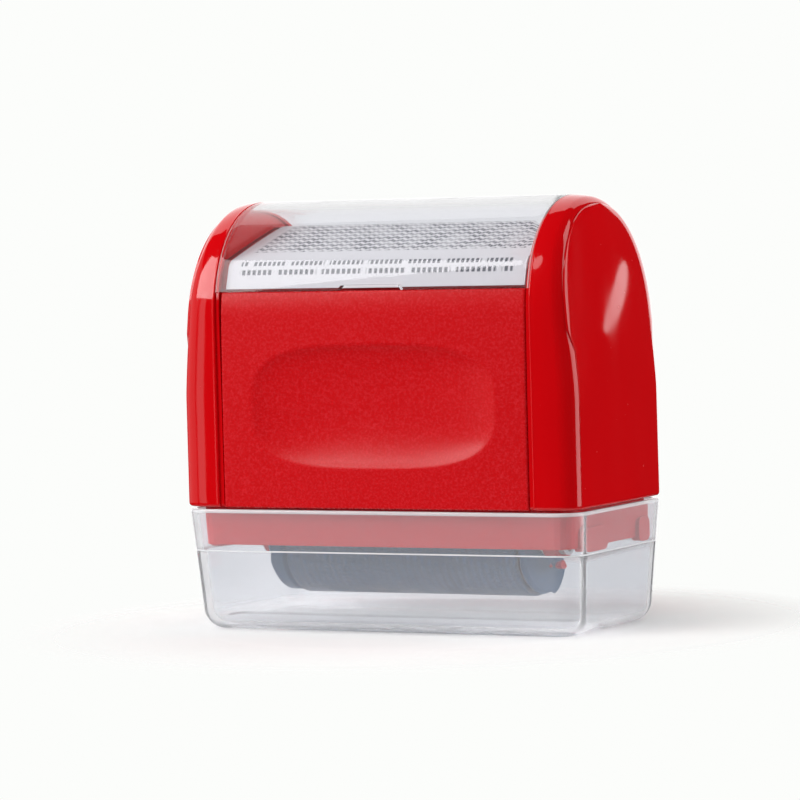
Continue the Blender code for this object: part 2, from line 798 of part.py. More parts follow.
build_cheeks()
build_shell()
build_panel("front_panel", -1)
build_panel("rear_panel", 1)
build_window()
build_frame()
build_roller()
build_cap()
for piece in PARTS.objects:
    shade(piece)
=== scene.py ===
"""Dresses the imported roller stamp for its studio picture.

Sizes are in millimetres until a mesh is made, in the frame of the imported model: X runs
along the roller, the front faces -Y, and Z is up from the surface that the cap stands on.
"""
import logging
import math
from dataclasses import dataclass, field
from enum import Enum

import bmesh
import bpy
import numpy as np
from mathutils import Matrix, Quaternion, Vector
from numpy.typing import NDArray


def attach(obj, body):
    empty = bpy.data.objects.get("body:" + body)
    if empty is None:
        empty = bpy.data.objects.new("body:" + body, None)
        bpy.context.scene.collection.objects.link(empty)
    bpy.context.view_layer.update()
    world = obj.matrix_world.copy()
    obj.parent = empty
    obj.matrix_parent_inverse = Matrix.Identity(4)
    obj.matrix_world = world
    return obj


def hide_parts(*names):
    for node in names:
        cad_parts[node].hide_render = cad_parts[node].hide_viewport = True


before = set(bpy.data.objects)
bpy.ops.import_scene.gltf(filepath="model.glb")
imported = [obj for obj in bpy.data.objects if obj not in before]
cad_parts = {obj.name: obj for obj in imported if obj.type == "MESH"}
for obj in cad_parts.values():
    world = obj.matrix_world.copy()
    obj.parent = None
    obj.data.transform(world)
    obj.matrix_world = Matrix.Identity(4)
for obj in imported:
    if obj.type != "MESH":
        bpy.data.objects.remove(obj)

Grid = NDArray[np.float64]
Colour = tuple[float, float, float]
Place = tuple[float, float, float]

METRES = 0.001  # A millimetre in metres.
WELD = 1e-7  # Points of a mesh that lie closer than this become one, in metres.
QUARTER = np.pi / 2  # A quarter turn.
log = logging.getLogger("stamp")


class Side(Enum):
    """The two ends of the stamp, as the sign of X."""

    LEFT = -1
    RIGHT = 1


class Face(Enum):
    """The two long faces of the stamp, as the sign of Y."""

    FRONT = -1
    REAR = 1


# Meshes


@dataclass
class Lattice:
    """A surface as rows and columns of points, which may close on themselves.

    Attributes:
        points: The points, as rows by columns by three.
        rows_close: Whether the last row joins the first.
        columns_close: Whether the last column joins the first.
        capped: Whether the first and last rows are filled with one face each.
    """

    points: Grid
    rows_close: bool = False
    columns_close: bool = True
    capped: bool = False

    def faces(self) -> list[list[int]]:
        """Quads between neighbouring rows and columns, and the two caps.

        Returns:
            The point numbers of each face.
        """
        rows, columns = self.points.shape[:2]
        down = np.arange(rows if self.rows_close else rows - 1)[:, None]
        along = np.arange(columns if self.columns_close else columns - 1)[None, :]
        below, beside = (down + 1) % rows, (along + 1) % columns
        corners = (
            down * columns + along, down * columns + beside,
            below * columns + beside, below * columns + along,
        )
        quads = np.stack(corners, axis=-1).reshape(-1, 4).tolist()
        if self.capped:
            quads.append(list(range(columns))[::-1])
            quads.append(list(range((rows - 1) * columns, rows * columns)))
        return quads


def make_piece(
    name: str, lattice: Lattice, sharp: float = 40, plan: Grid | None = None, fill: bool = False,
) -> bpy.types.Object:
    """Makes a closed smooth piece of a lattice, facing outwards.

    Args:
        name: The piece's name.
        lattice: Its surface, in millimetres.
        sharp: The turn between two faces that shows as an edge, in degrees.
        plan: A flat map of the surface, as rows by columns by two, in millimetres.
        fill: Whether open borders are filled with one face each.

    Returns:
        The object, at the origin.
    """
    mesh = bpy.data.meshes.new(name)
    mesh.from_pydata(lattice.points.reshape(-1, 3) * METRES, [], lattice.faces())
    if plan is not None:
        corners = np.empty(len(mesh.loops), dtype=np.int32)
        mesh.loops.foreach_get("vertex_index", corners)
        flat = plan.reshape(-1, 2)[corners]
        mesh.uv_layers.new(name="plan").data.foreach_set("uv", flat.ravel())
    shape = bmesh.new()
    shape.from_mesh(mesh)
    bmesh.ops.remove_doubles(shape, verts=shape.verts, dist=WELD)
    if fill:
        bmesh.ops.holes_fill(shape, edges=[edge for edge in shape.edges if edge.is_boundary])
    bmesh.ops.recalc_face_normals(shape, faces=shape.faces)
    if shape.calc_volume(signed=True) < 0:
        bmesh.ops.reverse_faces(shape, faces=shape.faces)
    shape.to_mesh(mesh)
    shape.free()
    mesh.shade_smooth()
    mesh.set_sharp_from_angle(angle=math.radians(sharp))
    made = bpy.data.objects.new(name, mesh)
    bpy.context.scene.collection.objects.link(made)
    return made


def joined(*columns: Grid) -> Grid:
    """Columns of a surface set side by side, each as rows by some columns by three."""
    return np.concatenate(columns, axis=1)


def travelled(path: Grid) -> Grid:
    """How far along a path of points each of them lies."""
    return np.concatenate([[0], np.cumsum(np.hypot(*np.diff(path, axis=0).T))])


def rounded_run(
    ends: tuple[float, float], radii: tuple[float, float], between: Grid, steps: int = 7,
) -> tuple[Grid, Grid]:
    """Places along a face whose two ends are rounded by quarter circles.

    Args:
        ends: Where the face starts and ends.
        radii: The radii of the roundings there.
        between: The places between the two roundings.
        steps: How many points each rounding has.

    Returns:
        The places, and how deep under the face each of them lies.
    """
    turn = np.linspace(0, QUARTER, steps)
    short, deep = 1 - np.sin(turn), 1 - np.cos(turn)
    places = [ends[0] + radii[0] * short[::-1], between, ends[1] - radii[1] * short]
    return np.concatenate(places), np.concatenate([radii[0] * deep[::-1], between * 0, radii[1] * deep])


def bent(first: Grid, corner: Grid, last: Grid, steps: int) -> Grid:
    """A rounded corner: the quadratic curve (1-t)^2 A + 2t(1-t) B + t^2 C.

    Args:
        first: Where the curve starts, with the coordinates last.
        corner: The corner that it rounds.
        last: Where it ends.
        steps: How many points it has.

    Returns:
        The points, with a new axis before the coordinates.
    """
    t = np.linspace(0, 1, steps)[:, None]
    first, corner, last = (np.expand_dims(p, -2) for p in (first, corner, last))
    return (1 - t) ** 2 * first + 2 * t * (1 - t) * corner + t**2 * last


def rounded_section(corners: tuple[tuple[float, float], ...], radius: float, steps: int) -> Grid:
    """A closed section with each corner rounded by a short curve.

    Args:
        corners: The section's corners in order.
        radius: How far from its corner each curve starts.
        steps: Points on each curve.

    Returns:
        The section's points, as rows of two.
    """
    at = np.array(corners, dtype=float)
    back, on = np.roll(at, 1, axis=0) - at, np.roll(at, -1, axis=0) - at
    near = [
        at + way * np.minimum(radius / np.linalg.norm(way, axis=1, keepdims=True), 0.45)
        for way in (back, on)
    ]
    return bent(near[0], at, near[1], steps).reshape(-1, 2)


# Finishes


class Wiring:
    """Adds nodes to a node tree and joins them."""

    def __init__(self, tree: bpy.types.NodeTree) -> None:
        """Takes the tree, and empties it."""
        self.tree = tree
        tree.nodes.clear()

    def node(self, kind: str, inputs: dict[str | int, object], **settings: object) -> bpy.types.Node:
        """Adds a node.

        Args:
            kind: Its type, without the leading ShaderNode.
            inputs: A value or an output socket for each named input.
            **settings: Properties of the node itself.

        Returns:
            The node.
        """
        made = self.tree.nodes.new("ShaderNode" + kind)
        for name, value in settings.items():
            setattr(made, name, value)
        for name, value in inputs.items():
            if isinstance(value, bpy.types.NodeSocket):
                self.tree.links.new(value, made.inputs[name])
            else:
                made.inputs[name].default_value = value
        return made

    def maths(self, operation: str, *values: object) -> bpy.types.NodeSocket:
        """The result of one Math node."""
        return self.node("Math", dict(enumerate(values)), operation=operation).outputs[0]

    def times(self, first: object, second: object) -> bpy.types.NodeSocket:
        """The product of two values."""
        return self.maths("MULTIPLY", first, second)

    def sine(self, value: object, speed: float) -> bpy.types.NodeSocket:
        """The sine of a value times a speed."""
        return self.maths("SINE", self.times(value, speed))

    def away(self, value: object, place: float) -> bpy.types.NodeSocket:
        """How far a value is from a place."""
        return self.maths("ABSOLUTE", self.maths("SUBTRACT", value, place))

    def axes(self, vector: object) -> list[bpy.types.NodeSocket]:
        """The parts of a vector along X, Y and Z."""
        return list(self.node("SeparateXYZ", {"Vector": vector}).outputs)

    def spread(
        self, value: object, low: float, high: float, first: float = 0, last: float = 1,
    ) -> bpy.types.NodeSocket:
        """A value carried from one range to another, and held at its ends."""
        inputs = {"Value": value, "From Min": low, "From Max": high, "To Min": first, "To Max": last}
        return self.node("MapRange", inputs).outputs["Result"]

    def blend(self, share: object, first: object, second: object) -> bpy.types.NodeSocket:
        """A colour between two, by a share from 0 to 1."""
        made = self.node("Mix", {}, data_type="RGBA")
        for number, value in ((0, share), (6, first), (7, second)):
            socket = made.inputs[number]
            if isinstance(value, bpy.types.NodeSocket):
                self.tree.links.new(value, socket)
            elif isinstance(value, tuple):
                socket.default_value = (*value, 1)
            else:
                socket.default_value = value
        return made.outputs[2]

    def place(self) -> bpy.types.NodeSocket:
        """The object's own coordinates, in metres."""
        return self.node("TexCoord", {}).outputs["Object"]

    def noise(
        self, scale: float, detail: float = 2, stretch: Place = (1, 1, 1), vector: object = None,
    ) -> bpy.types.NodeSocket:
        """Noise from 0 to 1.

        Args:
            scale: How many features lie in one unit of length.
            detail: How many finer layers it has.
            stretch: What the place is multiplied by along X, Y and Z.
            vector: The place, or nothing for the object's own coordinates.

        Returns:
            The noise's socket.
        """
        turned = self.node("Mapping", {"Vector": vector or self.place(), "Scale": stretch})
        inputs = {"Vector": turned.outputs[0], "Scale": scale, "Detail": detail}
        return self.node("TexNoise", inputs).outputs[0]

    def bump(self, height: object, depth: float, strength: float) -> bpy.types.NodeSocket:
        """A normal that follows a height from 0 to 1, with a depth in metres."""
        inputs = {"Height": height, "Distance": depth, "Strength": strength}
        return self.node("Bump", inputs).outputs[0]

    def close(self, shader: bpy.types.NodeSocket, kind: str = "OutputMaterial") -> None:
        """Joins a shader to the output."""
        self.node(kind, {"Surface": shader})


@dataclass(frozen=True)
class Finish:
    """A plain finish, which the others build on.

    Attributes:
        name: The material's name.
        colour: Its base colour, linear.
        roughness: Its roughness.
    """

    name: str
    colour: Colour
    roughness: float

    def material(self) -> bpy.types.Material:
        """The material, made once."""
        made = bpy.data.materials.get(self.name)
        if made is None:
            made = bpy.data.materials.new(self.name)
            made.use_nodes = True
            self.wire(Wiring(made.node_tree))
        return made

    def wire(self, wiring: Wiring) -> None:
        """Fills the material's node tree."""
        wiring.close(self.principled(wiring, {}))

    def tinted(self, factor: float) -> Colour:
        """The base colour, made darker or lighter by a factor."""
        return tuple(min(c * factor, 1) for c in self.colour)

    def principled(self, wiring: Wiring, inputs: dict[str | int, object]) -> bpy.types.NodeSocket:
        """A Principled shader with this colour and roughness, and other inputs over them."""
        base = {"Base Color": (*self.colour, 1), "Roughness": self.roughness}
        return wiring.node("BsdfPrincipled", {**base, **inputs}).outputs[0]


@dataclass(frozen=True)
class PolishedPlastic(Finish):
    """Polished moulded plastic: a faint waviness, and a few hairline marks from handling.

    Attributes:
        waves: How many waves lie in a metre, and how deep they are in metres.
        marks: How many handling marks lie in a metre.
        specks: How many specks of dust lie in a metre.
        clouds: How many changes of tint lie in a metre.
        worn: How much rougher the marks are than the rest.
    """

    waves: tuple[float, float] = (70, 0.00008)
    marks: float = 260
    specks: float = 1500
    clouds: float = 45
    worn: float = 2.2

    def wire(self, wiring: Wiring) -> None:
        """Adds slow waves to the surface, and specks of dust that break the gloss."""
        waves = wiring.bump(wiring.noise(self.waves[0], 1), self.waves[1], 0.5)
        marks = wiring.noise(self.marks, 3, (1, 1, 0.15))
        dust = wiring.spread(wiring.noise(self.specks, 1), 0.76, 0.82)
        marked = wiring.spread(marks, 0.45, 0.75, self.roughness, self.roughness * self.worn)
        rough = wiring.maths("ADD", marked, wiring.times(dust, 0.3))
        clouds = wiring.spread(wiring.noise(self.clouds, 2), 0.3, 0.7)
        shade = wiring.blend(clouds, self.tinted(0.97), self.tinted(1.03))
        wiring.close(self.principled(wiring, {"Base Color": shade, "Roughness": rough, "Normal": waves}))


@dataclass(frozen=True)
class SparkedPlastic(Finish):
    """Moulded plastic with the fine grain of a spark-eroded mould.

    Attributes:
        grain: How many grains lie in a metre.
        relief: The grain's depth in metres.
        pale: The colour of the grain's tips.
        shine: How much it reflects: half is usual.
    """

    grain: float = 5200
    relief: float = 0.000018
    pale: Colour = (0.64, 0.012, 0.020)
    shine: float = 0.22

    def wire(self, wiring: Wiring) -> None:
        """Adds the grain as relief, and its tips and pits as slight changes of colour."""
        fine = wiring.noise(self.grain, 2)
        coarse = wiring.noise(self.grain * 0.45, 1)
        height = wiring.maths("ADD", wiring.times(fine, 0.7), wiring.times(coarse, 0.3))
        normal = wiring.bump(height, self.relief, 0.6)
        shade = wiring.blend(wiring.spread(height, 0.48, 0.64), self.colour, self.pale)
        rough = wiring.spread(coarse, 0.3, 0.7, self.roughness * 0.9, self.roughness * 1.1)
        inputs = {"Base Color": shade, "Roughness": rough, "Normal": normal, "Specular IOR Level": self.shine}
        wiring.close(self.principled(wiring, inputs))


@dataclass(frozen=True)
class ClearPlastic(Finish):
    """Clear moulded plastic, a little hazy, with light handling marks.

    Attributes:
        clearness: How much light goes through instead of being scattered.
        shadow: The colour of the light that passes to what it covers.
        index: Its index of refraction.
        painted_highlight_bands: Bands along moulded edges, painted hazier and whiter as a painted highlight:
            axis, place and half width in metres, clearness.
        waves: How many waves lie in a metre, and how deep they are in metres.
        marks: How many handling marks lie in a metre.
        worn: How much rougher the marks are than the rest.
    """

    clearness: float = 0.9
    shadow: Colour = (0.9, 0.9, 0.91)
    index: float = 1.49
    painted_highlight_bands: tuple[tuple[int, float, float, float], ...] = ()
    waves: tuple[float, float] = (110, 0.00006)
    marks: float = 420
    worn: float = 2.5

    def wire(self, wiring: Wiring) -> None:
        """Lets shadow rays through, so that what it covers is lit."""
        waves = wiring.bump(wiring.noise(self.waves[0], 1), self.waves[1], 0.35)
        marks = wiring.noise(self.marks, 3, (0.3, 1, 1))
        rough = wiring.spread(marks, 0.5, 0.75, self.roughness, self.roughness * self.worn)
        axes = wiring.axes(wiring.place())
        clear = self.clearness
        # Painted highlight: each band along a rim, ledge or end is drawn less clear, so it shows hazier and
        # whiter, as if it caught the light.
        for axis, place, half, clearness in self.painted_highlight_bands:
            away = wiring.away(wiring.maths("ABSOLUTE", axes[axis]), place)
            rim = wiring.spread(away, half, half * 1.5, clearness, self.clearness)
            clear = wiring.maths("MINIMUM", clear, rim)
        inputs = {"Roughness": rough, "Normal": waves, "Transmission Weight": clear, "IOR": self.index}
        shader = self.principled(wiring, inputs)
        through = wiring.node("BsdfTransparent", {"Color": (*self.shadow, 1)}).outputs[0]
        light = wiring.node("LightPath", {}).outputs["Is Shadow Ray"]
        wiring.close(wiring.node("MixShader", {0: light, 1: shader, 2: through}).outputs[0])


@dataclass(frozen=True)
class PrintedCard(Finish):
    """White card with a generic guard print: a wavy hatch, and two rows of dashes.

    Attributes:
        ink: The print's colour.
        reach: How far the print goes to each side, in millimetres.
        hatch: Where the hatch starts and ends along the card's path, in millimetres.
        rows: Where the rows of dashes lie along the path, in millimetres.
        zigzag: Half the length of a zigzag across the card, and its slope.
        row_pitch: How far apart the hatch's rows are, in millimetres.
        tick_pitch: How far apart its strokes are, in millimetres.
        blur: Half the width of the print's soft borders, along the path and across it.
        beats: How fast the dashes of a row follow each other, and its gaps.
        beat_steps: How much faster both are in the next row.
        fibres: How many paper fibres lie in a metre.
        relief: How deep they are, in metres.
        clouds: How many changes of strength the hatch has in a millimetre.
    """

    ink: Colour = (0.045, 0.050, 0.070)
    reach: float = 21.3
    hatch: tuple[float, float] = (7.5, 20.5)
    rows: tuple[float, ...] = (2.3, 3.6)
    zigzag: tuple[float, float] = (0.75, 0.9)
    row_pitch: float = 1.45
    tick_pitch: float = 0.5
    blur: tuple[float, float] = (0.15, 0.1)
    beats: tuple[float, float] = (7.5, 0.9)
    beat_steps: tuple[float, float] = (1.0, 0.13)
    fibres: float = 900
    relief: float = 0.00001
    clouds: float = 0.30

    def wire(self, wiring: Wiring) -> None:
        """Draws the print from the card's flat map: across it in X, and along its path in Y."""
        flat = wiring.node("UVMap", {}, uv_map="plan").outputs[0]
        across, along, _ = wiring.axes(flat)
        fibre = wiring.noise(self.fibres, 3)
        paper = wiring.blend(wiring.spread(fibre, 0.35, 0.65), self.colour, self.tinted(0.975))
        lift = wiring.times(wiring.maths("PINGPONG", across, self.zigzag[0]), self.zigzag[1])
        wave = wiring.sine(wiring.maths("ADD", along, lift), 2 * math.pi / self.row_pitch)
        tick = wiring.sine(across, 2 * math.pi / self.tick_pitch)
        hatch = wiring.times(wiring.spread(wave, -0.45, 0.1), wiring.spread(tick, -0.8, 0, 0.35, 1))
        strong = wiring.spread(wiring.noise(self.clouds, 1, vector=flat), 0.35, 0.60, 0.5, 1)
        soft, soft_end = self.blur
        first, last = self.hatch
        begun, ended = (wiring.spread(along, end - soft, end + soft) for end in (first, last))
        inside = wiring.maths("SUBTRACT", begun, ended)
        print_ink = wiring.times(wiring.times(hatch, strong), inside)
        for number, row in enumerate(self.rows):
            away = wiring.away(along, row)
            speeds = (speed + step * number for speed, step in zip(self.beats, self.beat_steps))
            beat, gap = (wiring.sine(across, speed) for speed in speeds)
            dash = wiring.times(wiring.spread(away, 0.28, 0.42, 0.9, 0), wiring.spread(beat, -0.6, 0))
            dash = wiring.times(dash, wiring.spread(gap, -0.97, -0.85))
            print_ink = wiring.maths("MAXIMUM", print_ink, dash)
        reach = wiring.maths("ABSOLUTE", across)
        edge = wiring.spread(reach, self.reach - soft_end, self.reach + soft_end, 1, 0)
        print_ink = wiring.times(print_ink, edge)
        shade = wiring.blend(print_ink, paper, self.ink)
        normal = wiring.bump(fibre, self.relief, 0.4)
        wiring.close(self.principled(wiring, {"Base Color": shade, "Normal": normal}))


@dataclass(frozen=True)
class PrintRubber(Finish):
    """The sleeve's rubber: a fine relief in rows round the roller, wet with ink in places.

    Attributes:
        axle: The axle's height in metres.
        pitch: How far apart the rows are, in metres.
        marks: How fast the marks follow each other round the roller, and along it.
        relief: How deep the marks are, in metres.
        wetness: How many changes of gloss lie in a metre.
    """

    axle: float = 0.0125
    pitch: float = 0.0011
    marks: tuple[float, float] = (62, 900)
    relief: float = 0.00012
    wetness: float = 240

    def wire(self, wiring: Wiring) -> None:
        """Raises short generic marks in rows along the roller, and varies the ink's gloss."""
        x, y, z = wiring.axes(wiring.place())
        turn = wiring.maths("ARCTAN2", y, wiring.maths("SUBTRACT", z, self.axle))
        rows = wiring.sine(x, 2 * math.pi / self.pitch)
        slant = wiring.maths("ADD", wiring.times(turn, self.marks[0]), wiring.times(x, self.marks[1]))
        marks = wiring.maths("SINE", slant)
        height = wiring.times(wiring.spread(rows, -0.2, 0.4), wiring.spread(marks, -0.3, 0.3, 0.2, 1))
        normal = wiring.bump(height, self.relief, 0.7)
        dull = self.roughness * 1.2
        wet = wiring.spread(wiring.noise(self.wetness, 2), 0.35, 0.65, self.roughness * 0.7, dull)
        # Painted shade: the low parts between the marks are drawn darker, down to 0.7 of the colour.
        shade = wiring.blend(height, self.tinted(0.7), self.colour)
        wiring.close(self.principled(wiring, {"Base Color": shade, "Roughness": wet, "Normal": normal}))


@dataclass(frozen=True)
class InkFoam(Finish):
    """Open-cell foam soaked with ink.

    Attributes:
        cells: How many cells lie in a metre.
        relief: How deep they are, in metres.
    """

    cells: float = 2600.0
    relief: float = 0.0002

    def wire(self, wiring: Wiring) -> None:
        """Opens round cells in the surface."""
        inputs = {"Vector": wiring.place(), "Scale": self.cells}
        cells = wiring.node("TexVoronoi", inputs).outputs["Distance"]
        normal = wiring.bump(cells, self.relief, 0.9)
        # Painted shade: the cells are drawn darker towards their middles, down to half the colour.
        shade = wiring.blend(wiring.spread(cells, 0.2, 0.7), self.tinted(0.5), self.colour)
        wiring.close(self.principled(wiring, {"Base Color": shade, "Normal": normal}))


@dataclass(frozen=True)
class TurnedSteel(Finish):
    """Bright turned steel, with fine rings from the lathe.

    Attributes:
        rings: How many rings lie in a metre.
        relief: How deep they are, in metres.
    """

    rings: float = 9000
    relief: float = 0.000008

    def wire(self, wiring: Wiring) -> None:
        """Draws the lathe's rings along the axle."""
        rings = wiring.noise(self.rings, 2, (1, 0.02, 0.02))
        normal = wiring.bump(rings, self.relief, 0.6)
        rough = wiring.spread(rings, 0.3, 0.7, self.roughness * 0.8, self.roughness * 1.3)
        wiring.close(self.principled(wiring, {"Metallic": 1.0, "Roughness": rough, "Normal": normal}))


GLOSS_RED = PolishedPlastic("gloss_red_shell", (0.60, 0.0008, 0.0030), 0.05)
MATTE_RED = SparkedPlastic("matte_red_panel", (0.56, 0.0006, 0.0030), 0.27)
FRAME_RED = SparkedPlastic(
    "plain_red_frame", (0.56, 0.003, 0.009), 0.38, 2600, 0.000008, (0.60, 0.006, 0.014),
)
CLEAR_SHADOW = (0.95, 0.95, 0.96)
# Painted highlights: a hazier, whiter band round the top of the cap's rim, and a thin one along its inner
# ledge.
CAP_PAINTED_HIGHLIGHTS = ((2, 0.0172, 0.0004, 0.5), (2, 0.0113, 0.00007, 0.3))
# Painted highlight: a hazier, whiter band at each end of the window.
WINDOW_PAINTED_HIGHLIGHTS = ((0, 0.02442, 0.00012, 0.45),)
CLEAR_CAP = ClearPlastic("clear_cap_plastic", (0.96, 0.97, 0.99), 0.04, 0.89, CLEAR_SHADOW, 1.45, CAP_PAINTED_HIGHLIGHTS)
CLEAR_WINDOW = ClearPlastic(
    "clear_window_plastic", (0.97, 0.97, 0.98), 0.03, 0.995, CLEAR_SHADOW, 1.40, WINDOW_PAINTED_HIGHLIGHTS,
)
CARD_WHITE = PrintedCard("guard_print_card", (0.66, 0.655, 0.675), 0.75)
SLEEVE = PrintRubber("sleeve_rubber", (0.004, 0.074, 0.185), 0.5)
FOAM = InkFoam("ink_foam_cells", (0.020, 0.020, 0.030), 0.9)
DARK_PLASTIC = SparkedPlastic(
    "dark_roller_plastic", (0.006, 0.074, 0.175), 0.4, 3000, 0.000005, (0.010, 0.082, 0.190),
)
PALE_PLASTIC = SparkedPlastic(
    "pale_bearing_plastic", (0.70, 0.70, 0.68), 0.45, 3000, 0.000005, (0.74, 0.74, 0.72),
)
STEEL = TurnedSteel("turned_steel", (0.60, 0.60, 0.62), 0.25)


# The housing's form


@dataclass(frozen=True)
class Stations:
    """Places along an arched outline, from the front foot over the crown to the rear foot.

    Attributes:
        side: -1 in front and 1 behind, one for each station.
        turn: 0 on the straight wall and a quarter turn at the crown.
        level: The height on the straight wall, or the springing height on the arch.
        sink: How far a rounded foot edge lies inside the wall.
    """

    side: Grid
    turn: Grid
    level: Grid
    sink: Grid


@dataclass(frozen=True)
class Housing:
    """Sizes and outlines that the pieces of the housing share, in millimetres.

    The outline is a straight wall up to the springing height, and a superellipse above
    it: y = D cos(t)^(2/p), z = spring + C sin(t)^(2/p), with p the power. A surface that
    lies inside it by an inset has D and C smaller by that inset.

    Attributes:
        half_width: Half the housing's width at its waist.
        half_depth: Half its depth at the foot.
        height: Its height.
        foot: Where its wall starts, over the cap.
        spring: Where the arch springs from the wall.
        power: The arch's power.
        draft: How much each wall leans in from the foot to the springing height.
        narrowing: How much narrower each end is at the crown.
        narrowing_power: How late that narrowing comes.
        narrowing_foot: The height of the waist, where it starts.
        cheek_start: The x of the cheeks' inner edge.
        rim_radius: The radius of the round rim between band and end.
        rim_shift: How far the whole rim lies out along X.
        band_turn: The band's slope where it meets the rim.
        bead_height: How high the bead on the hoops' inner edge stands.
        bead_width: How wide it is.
        foot_rounding: The rounding of the foot's outer edge.
        frame_way_top: Where the frame's way through the hoops ends.
        crease_top: The crease's inset above its kink.
        crease_foot: Its inset below the kink.
        kink_low: Where the kink starts.
        kink_top: Where it ends.
        level_gap: How far each side of the way's top a station lies.
    """

    half_width: float = 31.0
    half_depth: float = 15.0
    height: float = 60.0
    foot: float = 17.5
    spring: float = 44.0
    power: float = 2.1
    draft: float = 0.15
    narrowing: float = 2.7
    narrowing_power: float = 1.2
    narrowing_foot: float = 33.0
    cheek_start: float = 24.5
    rim_radius: float = 3.7
    rim_shift: float = 0.28
    band_turn: float = math.radians(8)
    bead_height: float = 0.022
    bead_width: float = 0.5
    foot_rounding: float = 0.6
    frame_way_top: float = 24.3
    crease_top: float = 1.2
    crease_foot: float = 2.3
    kink_low: float = 38.9
    kink_top: float = 41.9
    level_gap: float = 0.01

    def stations(self, arch_steps: int = 46) -> Stations:
        """Stations along the whole outline, close together at the foot, kink and rebate."""
        bend = np.linspace(QUARTER, 0, 7)
        low = self.foot + self.foot_rounding * (1 - np.sin(bend))
        walls = np.concatenate([
            low,
            np.linspace(low[-1], self.frame_way_top - self.level_gap, 9)[1:],
            np.linspace(self.frame_way_top + self.level_gap, self.kink_low, 20),
            np.linspace(self.kink_low, self.kink_top, 7)[1:],
            np.linspace(self.kink_top, self.spring, 4)[1:],
        ])
        sink = np.zeros(len(walls))
        sink[: len(low)] = self.foot_rounding * (1 - np.cos(bend))
        arch = np.linspace(0, QUARTER, arch_steps)[1:]
        turn = np.concatenate([np.zeros(len(walls)), arch])
        level = np.concatenate([walls, np.full(len(arch), self.spring)])
        sink = np.concatenate([sink, np.zeros(len(arch))])
        both = [np.concatenate([half, half[-2::-1]]) for half in (turn, level, sink)]
        side = np.where(np.arange(2 * len(turn) - 1) < len(turn), -1.0, 1.0)
        return Stations(side, *both)

    def outline(self, at: Stations, inset: Grid) -> tuple[Grid, Grid]:
        """Points of the outline drawn in by an inset.

        Args:
            at: The stations.
            inset: The insets, as stations by columns.

        Returns:
            y and z, as stations by columns.
        """
        side, turn, level = (v[:, None] for v in (at.side, at.turn, at.level))
        fall = self.draft * (level - self.foot) / (self.spring - self.foot)
        wide = np.maximum(np.cos(turn), 0) ** (2 / self.power)
        high = np.sin(turn) ** (2 / self.power)
        y = side * (self.half_depth - fall - inset) * wide
        z = level + (self.height - self.spring - inset) * high
        return y, z

    def arch_half(self, depth: float, crown: float, height: Grid) -> Grid:
        """Half an arch's width at a height: D (1 - ((z - spring) / C)^p)^(1/p)."""
        share = np.clip((height - self.spring) / (crown - self.spring), 0, 1)
        return depth * (1 - share**self.power) ** (1 / self.power)

    def narrowed(self, height: Grid) -> Grid:
        """The half width at a height: full at the waist, and less towards the crown."""
        share = np.clip((height - self.narrowing_foot) / (self.height - self.narrowing_foot), 0, 1)
        return self.half_width - self.narrowing * share**self.narrowing_power

    def stretched(self, x: Grid, height: Grid) -> Grid:
        """An x of the plain cheek moved to where the narrowing takes it."""
        room = self.half_width - self.cheek_start
        return self.cheek_start + (x - self.cheek_start) * (self.narrowed(height) - self.cheek_start) / room

    def kink(self, height: Grid) -> Grid:
        """A share that grows from 0 at the kink's top to 1 at its foot."""
        return np.clip((self.kink_top - height) / (self.kink_top - self.kink_low), 0, 1)

    def crease(self, height: Grid) -> Grid:
        """The inset of the line where an end plate meets its hoop, with a kink in it."""
        return self.crease_top + (self.crease_foot - self.crease_top) * self.kink(height)


@dataclass(frozen=True)
class CheekForm:
    """A cheek's section, of x and inset: a slightly crowned band, a round rim, a flat face.

    The band's slope grows evenly from nothing to the rim's first turn. The rim is a
    circle, and a depth below the surface makes its radius smaller.

    Attributes:
        housing: The housing that the cheek belongs to.
    """

    housing: Housing = field(default_factory=Housing)

    @property
    def band_end(self) -> float:
        """Where the band passes into the rim."""
        h = self.housing
        return h.half_width + h.rim_shift - h.rim_radius * (1 - math.sin(h.band_turn))

    @property
    def rim_centre(self) -> float:
        """The inset of the rim's centre, where the flat face starts."""
        h = self.housing
        return float(self.band(np.array(self.band_end))) + h.rim_radius * math.cos(h.band_turn)

    def band(self, x: Grid) -> Grid:
        """The band's inset at an x: a shallow parabola, with a fine bead along its inner edge."""
        h = self.housing
        share = np.clip((x - h.cheek_start) / h.bead_width, 0, 1)
        below_bead = h.bead_height * (1 + np.cos(2 * np.pi * share)) / 2
        away = x - h.cheek_start
        return away**2 * math.tan(h.band_turn) / 2 / (self.band_end - h.cheek_start) + below_bead

    def rim(self, turn: Grid, depth: Grid) -> tuple[Grid, Grid]:
        """x and inset on the rim at a turn from the long face, at a depth under it."""
        radius = self.housing.rim_radius
        x = self.housing.half_width + self.housing.rim_shift - radius + (radius - depth) * np.sin(turn)
        return x, self.rim_centre - (radius - depth) * np.cos(turn)

    def rim_turn(self, inset: Grid, depth: Grid) -> Grid:
        """The turn at which the rim has an inset."""
        radius = self.housing.rim_radius - depth
        return np.arccos(np.clip((self.rim_centre - inset) / radius, 0, 1))

    def surface(self, inset: Grid) -> Grid:
        """The x of the rim or the flat face at an inset."""
        radius = self.housing.rim_radius
        away = np.clip(self.rim_centre - inset, 0, radius)
        return self.housing.half_width - radius + np.sqrt(radius**2 - away**2)


